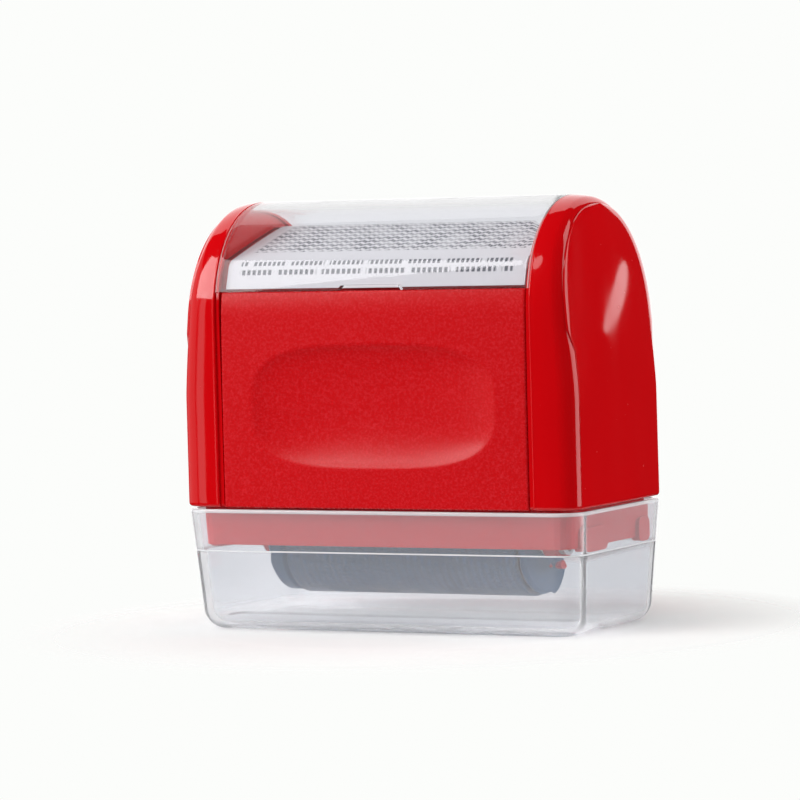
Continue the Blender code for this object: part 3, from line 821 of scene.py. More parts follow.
@dataclass(frozen=True)
class CardBed:
    """The path of the card: a front shoulder, a ramp to a crest, and a steep back.

    Corners are rounded by circles, and a margin moves the whole path outwards.

    Attributes:
        edge: Half the distance between the path's two feet.
        shoulder: Half the distance between its shoulders.
        foot: The height of its feet.
        shoulder_height: The height of its shoulders.
        crest: Its highest corner, as y and z.
        radii: The radii at the front shoulder, the crest and the rear shoulder.
    """

    edge: float = 12.575
    shoulder: float = 11.48
    foot: float = 47.9
    shoulder_height: float = 51.3
    crest: tuple[float, float] = (6.2, 57.0)
    radii: tuple[float, float, float] = (1.6, 5.0, 1.6)

    def path(self, margin: float, foot: float) -> Grid:
        """The path from the front foot over the crest to the rear foot.

        Args:
            margin: How far outside the bed the path runs.
            foot: The height at which it starts and ends.

        Returns:
            Points (y, z).
        """
        corners = np.array([
            (-self.edge, self.foot), (-self.shoulder, self.shoulder_height), self.crest,
            (self.shoulder, self.shoulder_height), (self.edge, self.foot),
        ])
        lean = (self.edge - self.shoulder) * (foot - self.foot) / (self.shoulder_height - self.foot)
        parts = [np.array([[lean - self.edge - margin, foot]])]
        for before, corner, after, radius in zip(corners, corners[1:], corners[2:], self.radii):
            parts.append(self.rounded(before, corner, after, radius, margin))
        parts.append(np.array([[self.edge - lean + margin, foot]]))
        return np.concatenate(parts)

    @staticmethod
    def rounded(before: Grid, corner: Grid, after: Grid, radius: float, margin: float) -> Grid:
        """A corner's circle: its centre plus radius and margin times the outward way."""
        back, on = (way / np.linalg.norm(way) for way in (before - corner, after - corner))
        half_turn = math.acos(float(back @ on)) / 2
        middle = (back + on) / np.linalg.norm(back + on)
        centre = corner + middle * radius / math.sin(half_turn)
        reach = radius / math.tan(half_turn)
        share = np.linspace(0, 1, 15)[:, None]
        out = (corner + back * reach - centre) * (1 - share) + (corner + on * reach - centre) * share
        out /= np.linalg.norm(out, axis=1, keepdims=True)
        return centre + out * (radius + margin)


# The pieces


@dataclass
class SubAssembly:
    """A group of pieces that ride on one body.

    Attributes:
        body: The body.
    """

    body: str

    def add(self, name: str, lattice: Lattice, finish: Finish, slot: str, node: str, **kind: object) -> None:
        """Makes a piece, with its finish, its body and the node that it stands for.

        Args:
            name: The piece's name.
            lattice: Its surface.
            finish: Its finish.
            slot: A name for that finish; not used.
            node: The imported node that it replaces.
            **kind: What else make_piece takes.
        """
        made = make_piece(name, lattice, **kind)
        made.data.materials.append(finish.material())
        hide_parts(node)
        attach(made, self.body)
        log.info("%s: %d faces, for %s", name, len(made.data.polygons), node)

    @staticmethod
    def dress(node: str, finish: Finish) -> None:
        """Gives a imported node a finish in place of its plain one."""
        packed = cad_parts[node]
        for slot in packed.material_slots:
            slot.material = finish.material()
        if not packed.material_slots:
            packed.data.materials.append(finish.material())
        log.info("%s: packed node, new finish", node)


@dataclass
class Cheek(SubAssembly):
    """One cheek of the housing: an arched hoop, and the plate that closes its end.

    Attributes:
        side: Which end it is.
        form: The form of its band, rim and face.
        bed: The card's bed, which its inner edge follows on top.
        edge_rounding: The rounding of the hoop's inner edge.
        crease_rounding: The rounding of both edges at the crease.
        facet: The width of the flat facet along the crease, above and below the kink.
        hoop_edge: The x of the hoop's edge at the crease, above and below the kink.
        plate_edge: The x of the plate's edge, alike.
        slit: How far beyond the crease the hoop ends and the plate starts.
        crown_fall: How fast the plate's middle falls back towards the crown.
        face_fall: How far the plate falls back evenly from its middle to its edge.
        dome_power: The power with which it falls back beyond that, close to its edge.
        middle_strip: Half the width of the plate's middle strip, as a share of the plate's.
        edge_share: How much of the face's first strip the rounding at the crease takes.
        gap: How far the inner edge stays from the card's bed.
        bed_start: The height over which it follows the bed.
        lip_end: Where the lip that floors the groove beside the panel ends.
        lip_depth: How deep the lip's two faces lie under the band.
        wall: How thick the hoop is.
        way_half: Half the depth of the frame's way.
        way_end: The x of the way's end.
        way_steps: The x of the hoop's steps beside the way, from the seat inwards.
        passage_half: Half the depth of the passage over the way.
        plate_depth: The plate's thickness.
        seat_depth: How deep the seat lies under the surface.
        seat_back: How deep the seat's back lies.
        seat_width: How far inside the crease the seat ends.
        plate_grid: How fine the plate is: stations on its arch, and columns on half its face.
    """

    side: Side
    form: CheekForm = field(default_factory=CheekForm)
    bed: CardBed = field(default_factory=CardBed)
    edge_rounding: float = 0.16
    crease_rounding: float = 0.04
    facet: tuple[float, float] = (0.20, 1.05)
    hoop_edge: tuple[float, float] = (30.12, 30.64)
    plate_edge: tuple[float, float] = (30.46, 30.68)
    slit: tuple[float, float] = (0.10, 0.11)
    crown_fall: float = 0.0036
    face_fall: float = 0.60
    dome_power: int = 10
    middle_strip: float = 0.04
    edge_share: float = 0.08
    gap: float = 0.3
    bed_start: float = 47.6
    lip_end: float = 23.88
    lip_depth: tuple[float, float] = (0.35, 1.3)
    wall: float = 1.4
    way_half: float = 13.55
    way_end: float = 29.3
    way_steps: tuple[float, float, float] = (28.8, 28.0, 26.5)
    passage_half: float = 12.6
    plate_depth: float = 1.4
    seat_depth: float = 1.7
    seat_back: float = 2.9
    seat_width: float = 1.5
    plate_grid: tuple[int, int] = (60, 20)

    def passage(self, at: Stations) -> Grid:
        """The hoop's inner edge: the frame's way, then straight walls, then the card's bed.

        Over the bed, each station takes the point at its own share of the way round.

        Args:
            at: The stations of the outer outline.

        Returns:
            Points (y, z), one for each station.
        """
        h = self.form.housing
        y, z = (v[:, 0] for v in h.outline(at, np.zeros((len(at.side), 1))))
        half = np.where(z < h.frame_way_top, self.way_half, self.passage_half)
        points = np.stack([at.side * half, z], axis=1)
        over = z > self.bed_start
        share = travelled(np.stack([y[over], z[over]], axis=1))
        bed = self.bed.path(self.gap, self.bed_start)
        bed_share = travelled(bed)
        for axis in (0, 1):
            points[over, axis] = np.interp(share / share[-1], bed_share / bed_share[-1], bed[:, axis])
        return points

    def shell(self, at: Stations, x: Grid, inset: Grid, depth: float | Grid = 0.0) -> Grid:
        """Points of a section carried along the outline, narrowed towards the crown.

        Args:
            at: The stations.
            x: The section's x, as stations by columns, or one row for all stations.
            inset: Its insets, alike.
            depth: How far to move the points inwards along X after the narrowing.

        Returns:
            Points, as stations by columns by three.
        """
        y, z = self.form.housing.outline(at, inset)
        moved = self.form.housing.stretched(x, z) - depth
        return np.stack([moved * self.side.value, y, z], axis=-1)

    @staticmethod
    def between(places: tuple[float, float], kink: Grid) -> Grid:
        """A measure that changes along the kink, from its first value above to its second below."""
        above, below = places
        return above + (below - above) * kink

    def hoop_surface(self) -> Lattice:
        """The hoop: a section of wall, lip, edge, band, rim, facet and seat, carried along the arch."""
        h, form = self.form.housing, self.form
        at = h.stations()
        count = len(at.side)
        sink = at.sink[:, None]
        _, height = h.outline(at, np.zeros((count, 1)))
        crease, kink = h.crease(height), h.kink(height)
        above = height > h.frame_way_top
        inner = self.passage(at)

        bend = np.linspace(QUARTER, 0, 6)[None, :]
        r = self.edge_rounding
        edge_x = h.cheek_start + r * (1 - np.sin(bend))
        edge = self.shell(at, edge_x, r * (1 - np.cos(bend)) + form.band(edge_x) + sink)
        wall_start = np.stack([np.full(count, h.cheek_start * self.side.value), *inner.T], axis=1)[:, None, :]
        floor, under = self.lip_depth
        lip_x = np.array([[h.cheek_start, self.lip_end, self.lip_end, h.cheek_start]])
        lip = self.shell(at, lip_x, np.array([[under, under, floor, floor]]) + sink)
        wall = joined(wall_start, (wall_start + lip[:, :1]) / 2)

        bead_end = h.cheek_start + h.bead_width
        band_x = np.concatenate([
            np.linspace(h.cheek_start + r, bead_end, 9)[1:], np.linspace(bead_end, form.band_end, 8)[1:],
        ])[None]
        band = self.shell(at, band_x, form.band(band_x) + sink)

        facet = self.between(self.facet, kink)
        end_inset = crease + self.slit[0]
        last = form.rim_turn(end_inset - facet, sink)
        turns = h.band_turn + (last - h.band_turn) * np.linspace(0, 1, 16)[None, 1:]
        rim = self.shell(at, *form.rim(turns, sink))
        end_x = self.between(self.hoop_edge, kink) - sink
        corner = self.shell(at, end_x, end_inset)
        below = self.shell(at, end_x, end_inset, self.crease_rounding)
        near = rim[:, -1] + (corner[:, 0] - rim[:, -1]) * (1 - self.crease_rounding / facet)
        crest = bent(near, corner[:, 0], below[:, 0], 4)

        low_inset = h.half_depth - self.way_half
        seat_step, inside_step, wall_step = self.way_steps
        seat_inset = crease + self.seat_width
        seat_x = form.surface(seat_inset)
        slit_x = np.where(above, form.surface(crease), self.way_end + self.seat_depth)
        slit = self.shell(at, slit_x, end_inset, self.seat_depth)
        wall_x, wall_back = form.surface(np.full_like(crease, self.wall)), h.cheek_start + self.wall
        back = [
            self.shell(at, np.where(above, x, low_x), np.where(above, inset, low_inset), depth)
            for x, low_x, inset, depth in (
                (seat_x, self.way_end + self.seat_depth, seat_inset, self.seat_depth),
                (seat_x, seat_step + self.seat_back, seat_inset, self.seat_back),
                (wall_x, inside_step + self.seat_back, self.wall, self.seat_back),
                (wall_back, wall_step, self.wall, 0.0),
            )
        ]
        wall_rear = wall_start.copy()
        wall_rear[..., 0] = wall_back * self.side.value
        return Lattice(joined(wall, lip, edge, band, rim, crest, slit, *back, wall_rear), capped=True)

    def plate_surface(self) -> Lattice:
        """The end plate: rows across from the front crease to the rear one, foot to crown.

        Its face is a shallow dome: x = middle - a s^2 - b s^n, where s goes from 1 at the
        edge to 0 in the middle, n is the dome's power, and a + b reaches the edge. The middle
        falls back with the square of the height over the waist. Both edges run into one point
        at the crown.
        """
        h, form = self.form.housing, self.form
        stations, columns = self.plate_grid
        whole = h.stations(stations)
        half = (len(whole.side) + 1) // 2
        at = Stations(*(v[:half] for v in (whole.side, whole.turn, whole.level, whole.sink)))
        sink = at.sink[:, None]
        _, height = h.outline(at, np.zeros((half, 1)))
        start = h.crease(height) + self.slit[1]
        edge_x = self.between(self.plate_edge, h.kink(height)) - sink
        y, z = h.outline(at, start)
        across = 1 - np.linspace(0, 1, columns)[None, :] * (1 - self.middle_strip)
        edge = h.stretched(edge_x, z)
        middle = h.half_width - self.crown_fall * np.clip(z - h.narrowing_foot, 0, None) ** 2 - sink
        even = np.minimum(self.face_fall, middle - edge)
        domed = middle - even * across**2 - (middle - edge - even) * across**self.dome_power
        face = np.stack([domed * self.side.value, y * across, np.broadcast_to(z, domed.shape)], axis=-1)
        below = self.shell(at, edge_x, start, self.crease_rounding)
        first = face[:, 0]
        lip = bent(below[:, 0], first, first + (face[:, 1] - first) * self.edge_share, 4)
        foot = self.shell(at, form.surface(start), start, self.plate_depth)
        side = joined(foot, lip, face[:, 1:])
        other = side[:, ::-1] * np.array([1, -1, 1])
        return Lattice(joined(side, other))

    def build(self) -> None:
        """Makes the hoop and the plate."""
        name = self.side.name.lower()
        hoop, plate = self.hoop_surface(), self.plate_surface()
        self.add(f"arched_hoop_{name}", hoop, GLOSS_RED, "gloss_red", f"hoop_{name}")
        self.add(f"end_cover_{name}", plate, GLOSS_RED, "gloss_red", f"end_plate_{name}", fill=True)


@dataclass
class GripPanel(SubAssembly):
    """A matte panel with a thumb scoop.

    The scoop is a superellipsoid: with rho = ((|x|/a)^n + (|z|/b)^n)^(1/n), its depth is
    (d + lift) sqrt(1 - rho^2) - lift, and a soft bend of a small radius joins it to the face.

    Attributes:
        face: Which of the two long faces it covers.
        housing: The housing that it belongs to.
        half: Half its width.
        top: The height of its top edge.
        back: How far its rear lies from the middle.
        back_low: How far it lies from the middle beside the frame.
        back_middle: The height of a point on its rear, between the two.
        step: The height at which the rear steps back.
        rounding: The rounding of its ends and its foot.
        top_rounding: The rounding of its top edge.
        bow: How fast its face falls back to both ends, and over the bow's foot.
        bow_foot: The height over which the face falls back.
        scoop_half: Half the scoop's width and height.
        scoop_middle: The height of its middle.
        scoop_depth: Its depth.
        scoop_lift: How far over the face the superellipsoid's middle plane lies.
        scoop_power: Its power.
        scoop_slope: How fast the shape climbs outside its edge.
        scoop_bend: How soft the bend at its edge is.
        face_grid: How fine the face is, along X and along Z.
    """

    face: Face
    housing: Housing = field(default_factory=Housing)
    half: float = 23.75
    top: float = 47.6
    back: float = 12.6
    back_low: float = 13.6
    back_middle: float = 40.0
    step: float = 24.3
    rounding: float = 0.28
    top_rounding: float = 0.15
    bow: tuple[float, float] = (0.00028, 0.0009)
    bow_foot: float = 27.0
    scoop_half: tuple[float, float] = (19.5, 8.75)
    scoop_middle: float = 31.7
    scoop_depth: float = 1.5
    scoop_lift: float = 0.525
    scoop_power: float = 3.2
    scoop_slope: float = 4.0
    scoop_bend: float = 0.07
    face_grid: tuple[int, int] = (190, 104)

    def scoop(self, x: Grid, z: Grid) -> Grid:
        """The scoop's depth, with a soft edge: k log(1 + exp(depth / k))."""
        wide, high = np.abs(x) / self.scoop_half[0], np.abs(z - self.scoop_middle) / self.scoop_half[1]
        rho = (wide**self.scoop_power + high**self.scoop_power) ** (1 / self.scoop_power)
        reach = self.scoop_depth + self.scoop_lift
        inside = np.sqrt(np.clip(1 - rho**2, 0, None))
        outside = np.clip(rho - 1, 0, None) * self.scoop_slope
        depth = reach * (inside - outside) - self.scoop_lift
        return self.scoop_bend * np.logaddexp(0, depth / self.scoop_bend)

    def surface(self) -> Lattice:
        """The panel: a loop up its face, over its top and down its back, carried along X."""
        h, r = self.housing, self.rounding
        columns, rows = self.face_grid
        across = np.linspace(r - self.half, self.half - r, columns)[1:-1]
        upwards = np.linspace(h.foot + r, self.top - self.top_rounding, rows)[1:-1]
        x, x_sink = rounded_run((-self.half, self.half), (r, r), across)
        z, z_sink = rounded_run((h.foot, self.top), (r, self.top_rounding), upwards)
        grid_x, grid_z = np.meshgrid(x, z, indexing="ij")
        bowed = self.bow[0] * grid_x**2 + self.bow[1] * np.clip(grid_z - self.bow_foot, 0, None) ** 2
        fall = h.draft * np.clip((grid_z - h.foot) / (h.spring - h.foot), 0, 1)
        arch = h.arch_half(h.half_depth - h.draft, h.height, grid_z) / (h.half_depth - h.draft)
        sink = x_sink[:, None] + z_sink[None, :]
        y = (h.half_depth - fall) * arch - sink - self.scoop(grid_x, grid_z) - bowed
        front = np.stack([grid_x, y, grid_z], axis=-1)
        rear_line = np.array([
            (self.back, self.top), (self.back, self.back_middle), (self.back, self.step),
            (self.back_low, self.step), (self.back_low, h.foot),
        ])
        rear = np.empty((len(x), len(rear_line), 3))
        rear[..., 0] = x[:, None]
        rear[..., 1:] = rear_line[None]
        points = joined(front, rear)
        points[..., 1] *= self.face.value
        return Lattice(points, capped=True)

    def build(self) -> None:
        """Makes the panel."""
        name = self.face.name.lower()
        self.add(f"grip_panel_{name}", self.surface(), MATTE_RED, "matte_red", f"{name}_panel")


@dataclass
class Window(SubAssembly):
    """The clear arched window with the nail notch in its front foot.

    Its section is an outer arch and an inner one, carried along X. At the notch, both
    arches start higher on their superellipse, so that the surface stays the same.

    Attributes:
        housing: The housing whose outline it follows.
        half: Half its width.
        foot: The height of its foot.
        wall: Its thickness.
        rounding: The rounding of its ends.
        notch_half: Half the width of the notch.
        notch_slope: How wide each of its slopes is.
        notch_height: How high it is.
        arch_steps: How many points half of the outer arch has, and half of the inner one.
    """

    housing: Housing = field(default_factory=Housing)
    half: float = 24.42
    foot: float = 47.65
    wall: float = 1.1
    rounding: float = 0.18
    notch_half: float = 5.0
    notch_slope: float = 0.55
    notch_height: float = 0.7
    arch_steps: tuple[int, int] = (60, 40)

    def notch(self, x: Grid) -> Grid:
        """How high the foot is cut at an x: a low trapezium."""
        return self.notch_height * np.clip((self.notch_half - np.abs(x)) / self.notch_slope, 0, 1)

    def arch(self, x: Grid, inset: Grid, side: int, steps: int) -> Grid:
        """Half an arch from its foot to its crown, for each x.

        Args:
            x: The stations along X.
            inset: How far inside the housing's outline each is.
            side: -1 in front and 1 behind.
            steps: Points from foot to crown.

        Returns:
            Points, as stations by steps by three.
        """
        h = self.housing
        cut = self.notch(x) if side < 0 else x * 0
        rise = h.height - h.spring - inset
        depth = h.half_depth - h.draft - inset
        start = np.arcsin(((self.foot + cut - h.spring) / rise) ** (h.power / 2))[:, None]
        turn = start + (QUARTER - start) * np.linspace(0, 1, steps)[None, :]
        y = side * depth[:, None] * np.maximum(np.cos(turn), 0) ** (2 / h.power)
        z = h.spring + rise[:, None] * np.sin(turn) ** (2 / h.power)
        return np.stack([np.broadcast_to(x[:, None], y.shape), y, z], axis=-1)

    def surface(self) -> Lattice:
        """The window as a closed loop for each x: outer arch, rear foot, inner arch."""
        r = self.rounding
        notch = self.notch_half - self.notch_slope * np.linspace(0, 1, 4)[1:]
        plain = np.concatenate([np.linspace(self.half - r, self.notch_half, 18)[1:], notch])
        middle = np.concatenate([-plain, np.linspace(-notch[-1], notch[-1], 10)[1:-1], plain[::-1]])
        x, sink = rounded_run((-self.half, self.half), (r, r), middle, 6)
        arches = [
            joined(self.arch(x, inset, side, steps), self.arch(x, inset, -side, steps)[:, -2::-1])
            for inset, side, steps in zip((sink, self.wall - sink / 2), (-1, 1), self.arch_steps)
        ]
        return Lattice(joined(*arches), capped=True)

    def build(self) -> None:
        """Makes the window."""
        self.add("arched_window", self.surface(), CLEAR_WINDOW, "clear_window", "window_cover", sharp=30)


@dataclass
class AddressCard(SubAssembly):
    """The printed card: a thin strip that follows the bed, with a flat map for its print.

    Attributes:
        bed: The path that it follows.
        half: Half its width.
        foot: The height of its two lower edges.
        under: How far over the bed it lies.
        thickness: Its thickness.
    """

    bed: CardBed = field(default_factory=CardBed)
    half: float = 23.3
    foot: float = 47.95
    under: float = 0.2
    thickness: float = 0.25

    def surface(self) -> tuple[Lattice, Grid]:
        """The card's surface and its flat map: x across, and the length along its path."""
        top = self.bed.path(self.under + self.thickness, self.foot)
        bottom = self.bed.path(self.under, self.foot)
        length = travelled(top)
        loop = np.concatenate([top, bottom[::-1]])
        along = np.concatenate([length, length[::-1]])
        x = np.linspace(-self.half, self.half, 24)
        points = np.empty((len(x), len(loop), 3))
        points[..., 0] = x[:, None]
        points[..., 1:] = loop[None]
        plan = np.stack(np.broadcast_arrays(x[:, None], along[None, :]), axis=-1)
        return Lattice(points, capped=True), plan

    def build(self) -> None:
        """Makes the card."""
        lattice, plan = self.surface()
        self.add("guard_card", lattice, CARD_WHITE, "card_white", "index_card", sharp=30, plan=plan)


@dataclass
class DustCap(SubAssembly):
    """The clear tub: rounded rectangles, one for each step of its section.

    The section runs from the middle of the underside out and up the outer wall, over the
    rim, down the inner wall past a ledge, and in over the floor. The walls taper evenly
    with height, and the underside is lifted to a low arch across X.

    Attributes:
        half_width: Half its width at the rim.
        half_depth: Half its depth there.
        height: Its height.
        taper_x: How much narrower each end is at the foot.
        taper_y: How much further in each long face is there.
        corner: The radius of its upright corners outside.
        least_corner: The least radius that those corners have inside.
        foot_radius: The rounding between walls and underside.
        wall: The wall's thickness over the ledge.
        thick_wall: Its thickness under the ledge.
        ledge: The ledge's height.
        floor: The floor's thickness.
        rim_rounding: The rounding of the rim outside.
        rim_inner: Its rounding inside.
        ledge_roundings: The radii of the ledge's hollow corner and of its edge.
        relief_middle: The y of the middle of the arch under the foot.
        relief_half: Half that arch's width.
        relief_height: Its height.
    """

    half_width: float = 30.9
    half_depth: float = 14.9
    height: float = 17.2
    taper_x: float = 1.2
    taper_y: float = 1.4
    corner: float = 3.8
    least_corner: float = 0.4
    foot_radius: float = 2.8
    wall: float = 1.0
    thick_wall: float = 1.4
    ledge: float = 11.2
    floor: float = 1.2
    rim_rounding: float = 0.3
    rim_inner: float = 0.2
    ledge_roundings: tuple[float, float] = (0.12, 0.1)
    relief_middle: float = -4.5
    relief_half: float = 4.5
    relief_height: float = 0.7

    def section(self) -> tuple[Grid, Grid, Grid]:
        """Inset, height and share of the way from the middle, for each step of the section."""
        quarter = np.linspace(0, QUARTER, 12)
        short, deep = 1 - np.sin(quarter), 1 - np.cos(quarter)
        top, thick, ledge = self.height, self.thick_wall, self.ledge
        outer, lip, (hollow, edge) = self.rim_rounding, self.rim_inner, self.ledge_roundings
        foot, inner = self.foot_radius, self.foot_radius - self.floor
        lines = [
            (foot * short, foot * deep),
            (np.zeros(12), np.linspace(foot, top - outer, 13)[1:]),
            (outer * deep[1::2], top - outer * short[1::2]),
            (self.wall - lip * short[::2], top - lip * deep[::2]),
            (np.full(7, self.wall), np.linspace(top - lip, ledge + hollow, 8)[1:]),
            (self.wall + hollow * deep[::3], ledge + hollow * short[::3]),
            (thick - edge * short[::3], ledge - edge * deep[::3]),
            (np.full(7, thick), np.linspace(ledge - edge, self.floor + inner, 8)[1:]),
            (thick + inner * deep[1:], self.floor + inner * short[1:]),
        ]
        inset = np.concatenate([line[0] for line in lines])
        height = np.concatenate([line[1] for line in lines])
        spokes = np.linspace(0, 1, 14)[:-1]
        share = np.concatenate([spokes, np.ones(len(inset)), spokes[::-1]])
        first, last = np.full(len(spokes), inset[0]), np.full(len(spokes), inset[-1])
        inset = np.concatenate([first, inset, last])
        height = np.concatenate([first * 0, height, last * 0 + self.floor])
        return inset, height, share

    def ring(self, half_x: Grid, half_y: Grid, corner: Grid, count: int = 30) -> tuple[Grid, Grid]:
        """Rounded rectangles: four quarter circles, joined by straight sides.

        Args:
            half_x: Half sizes along X, one for each ring.
            half_y: Half sizes along Y.
            corner: Corner radii.
            count: Points on each quarter.

        Returns:
            x and y, as rings by points.
        """
        quarter = np.linspace(0, QUARTER, count)
        turn = np.concatenate([quarter + k * QUARTER for k in range(4)])
        sign_x = np.repeat([1, -1, -1, 1], count)
        sign_y = np.repeat([1, 1, -1, -1], count)
        x = sign_x * (half_x - corner)[:, None] + corner[:, None] * np.cos(turn)
        y = sign_y * (half_y - corner)[:, None] + corner[:, None] * np.sin(turn)
        return x, y

    def surface(self) -> Lattice:
        """The tub's closed surface."""
        inset, height, share = self.section()
        fall = 1 - height / self.height
        half_x = self.half_width - self.taper_x * fall - inset
        half_y = self.half_depth - self.taper_y * fall - inset
        corner = np.maximum(self.corner - inset, self.least_corner)
        x, y = (self.filled(v) * share[:, None] for v in self.ring(half_x, half_y, corner))
        z = np.broadcast_to(height[:, None], x.shape).copy()
        radius = (self.relief_half**2 + self.relief_height**2) / (2 * self.relief_height)
        away = np.clip(np.abs(y - self.relief_middle), 0, radius)
        lift = np.sqrt(radius**2 - away**2) - radius + self.relief_height
        outside = np.arange(len(inset)) < len(inset) // 2
        z = np.where(outside[:, None], np.maximum(z, lift), z)
        return Lattice(np.stack([x, y, z], axis=-1))

    @staticmethod
    def filled(places: Grid) -> Grid:
        """Adds points along the straight sides, so that the relief has rows to bend.

        Args:
            places: The x or the y of the rings, as rings by points.

        Returns:
            The same with twenty more points on each straight side.
        """
        share = np.linspace(0, 1, 22)[None, 1:-1]
        quarters = np.split(places, 4, axis=1)
        parts = []
        for here, after in zip(quarters, quarters[1:] + quarters[:1]):
            parts += [here, here[:, -1:] * (1 - share) + after[:, :1] * share]
        return np.concatenate(parts, axis=1)

    def build(self) -> None:
        """Makes the cap."""
        self.add("clear_dust_cap", self.surface(), CLEAR_CAP, "clear_cap", "dust_cap", sharp=50)


@dataclass(frozen=True)
class TurnedPart:
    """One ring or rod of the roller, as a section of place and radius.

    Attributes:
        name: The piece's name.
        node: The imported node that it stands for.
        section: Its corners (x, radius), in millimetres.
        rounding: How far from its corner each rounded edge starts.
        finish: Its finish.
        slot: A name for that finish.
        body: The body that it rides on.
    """

    name: str
    node: str
    section: tuple[tuple[float, float], ...]
    rounding: float
    finish: Finish
    slot: str
    body: str = "roller"


@dataclass
class Roller(SubAssembly):
    """The roller with its axle, bearings and clips: sections turned about the axle.

    A point of the section at x and radius r goes to (x, r sin a, axle + r cos a).

    Attributes:
        axle_height: The axle's height.
        steps: How many times each section stands round the axle.
        curve_steps: How many points each rounded corner of a section has.
        half: Half the sleeve's width.
        bore: The radius of the bores for the axle.
        disc: The radius of the end discs.
        disc_gap: How far they stay from the sleeve.
    """

    axle_height: float = 12.5
    steps: int = 120
    curve_steps: int = 5
    half: float = 18.0
    bore: float = 1.8
    disc: float = 7.7
    disc_gap: float = 0.3

    def parts(self) -> list[TurnedPart]:
        """The turned parts, from the axle outwards."""
        bore, disc, half = self.bore, self.disc, self.half
        inner = half + self.disc_gap

        def ring(start: float, end: float, inside: float, outside: float) -> tuple[tuple[float, float], ...]:
            """A ring's four corners."""
            return ((start, outside), (end, outside), (end, inside), (start, inside))

        def bush(start: float, collar: float, end: float) -> tuple[tuple[float, float], ...]:
            """A bush with a collar at its end, by their places along X."""
            return ((start, 2.6), (collar, 2.6), (collar, 3.2), (end, 3.2), (end, bore), (start, bore))

        rod = ((-25.2, 0), (-25.2, 1.5), (23.4, 1.5), (23.4, 0))
        disc_left = (
            (-21.2, bore), (-21.2, 2.9), (-20.7, 3.3), (-20.7, 5.9), (-21.2, 6.3), (-21.2, 7.1),
            (-20.6, disc), (-18.9, disc), (-inner, 7.1), (-inner, bore),
        )
        disc_right = ((19.4, bore), (19.4, 7.3), (19.05, disc), (18.65, disc), (inner, 7.3), (inner, bore))
        sleeve = ring(-half, half, 7.0, 8.0)
        dark, pale, steel = (DARK_PLASTIC, "dark_plastic"), (PALE_PLASTIC, "pale_plastic"), (STEEL, "steel")
        return [
            TurnedPart("turned_axle", "axle", rod, 0.25, *steel),
            TurnedPart("roller_core", "roller_spool", ring(-half, half, bore, 4.2), 0.2, *dark),
            TurnedPart("ink_roll", "ink_foam", ring(-half, half, 4.5, 6.7), 0.3, FOAM, "ink_foam"),
            TurnedPart("printing_sleeve", "print_sleeve", sleeve, 0.25, SLEEVE, "dark_rubber"),
            TurnedPart("roller_disc_left", "flange_left", disc_left, 0.15, *dark),
            TurnedPart("roller_disc_right", "flange_right", disc_right, 0.12, *dark),
            TurnedPart("bearing_left", "bush_left", bush(-24.0, -22.0, -21.5), 0.1, *pale, "housing"),
            TurnedPart("bearing_right", "bush_right", bush(22.2, 20.2, 19.7), 0.1, *pale, "housing"),
            TurnedPart("retaining_ring_left", "clip_left", ring(-24.8, -24.3, bore, 2.8), 0.1, *steel),
            TurnedPart("retaining_ring_right", "clip_right", ring(22.5, 23.0, bore, 2.8), 0.1, *steel),
        ]

    def turned(self, part: TurnedPart) -> Lattice:
        """The surface that a part's rounded section sweeps round the axle.

        A section that starts on the axis is open there, with its end corners left sharp.

        Args:
            part: The part.

        Returns:
            Its surface.
        """
        section = rounded_section(part.section, part.rounding, self.curve_steps)
        solid = part.section[0][1] == 0
        if solid:
            rounded = section[self.curve_steps:-self.curve_steps]
            section = np.concatenate([part.section[:1], rounded, part.section[-1:]])
        angle = np.linspace(0, 2 * np.pi, self.steps, endpoint=False)[:, None]
        x = np.broadcast_to(section[None, :, 0], (self.steps, len(section)))
        y = section[None, :, 1] * np.sin(angle)
        z = self.axle_height + section[None, :, 1] * np.cos(angle)
        return Lattice(np.stack([x, y, z], axis=-1), rows_close=True, columns_close=not solid)

    def build(self) -> None:
        """Makes every turned part."""
        for part in self.parts():
            self.body = part.body
            self.add(part.name, self.turned(part), part.finish, part.slot, part.node, sharp=35)


# The studio


MIDDLE: Place = (0.0, 0.0, 0.03)


def towards(azimuth: float, elevation: float) -> Vector:
    """The way from the stamp at angles in degrees: azimuth 0 is in front, 90 to the right."""
    a, e = math.radians(azimuth), math.radians(elevation)
    return Vector((math.sin(a) * math.cos(e), -math.cos(a) * math.cos(e), math.sin(e)))


def around(azimuth: float, elevation: float, distance: float) -> Place:
    """A place at a distance in metres from the stamp's middle."""
    return tuple(Vector(MIDDLE) + distance * towards(azimuth, elevation))


@dataclass(frozen=True)
class Softbox:
    """A soft light that faces the stamp.

    Attributes:
        name: Its name.
        place: Where it stands, in metres.
        size: Its width and height, in metres.
        power: Its power in watts.
        mirrored: Whether glossy surfaces show it.
        lights: Whether it lights matte surfaces.
        aim: The point that it faces.
        roll: Its turn about its own axis, in degrees.
        shape: Its outline, as Blender names it.
    """

    name: str
    place: Place
    size: tuple[float, float]
    power: float
    mirrored: bool = False
    lights: bool = True
    aim: Place = MIDDLE
    roll: float = 0.0
    shape: str = "RECTANGLE"

    def build(self) -> None:
        """Makes the light."""
        lamp = bpy.data.lights.new(self.name, "AREA")
        lamp.shape = self.shape
        lamp.size, lamp.size_y = self.size
        lamp.energy = self.power
        made = bpy.data.objects.new(self.name, lamp)
        made.location = self.place
        way = Vector(self.aim) - Vector(self.place)
        roll = Quaternion((0, 0, 1), math.radians(self.roll))
        made.rotation_euler = (way.to_track_quat("-Z", "Y") @ roll).to_euler()
        made.visible_camera = False
        made.visible_transmission = False
        made.visible_glossy = self.mirrored
        made.visible_diffuse = self.lights
        bpy.context.scene.collection.objects.link(made)
        log.info("light %s: %.2f W", self.name, self.power)


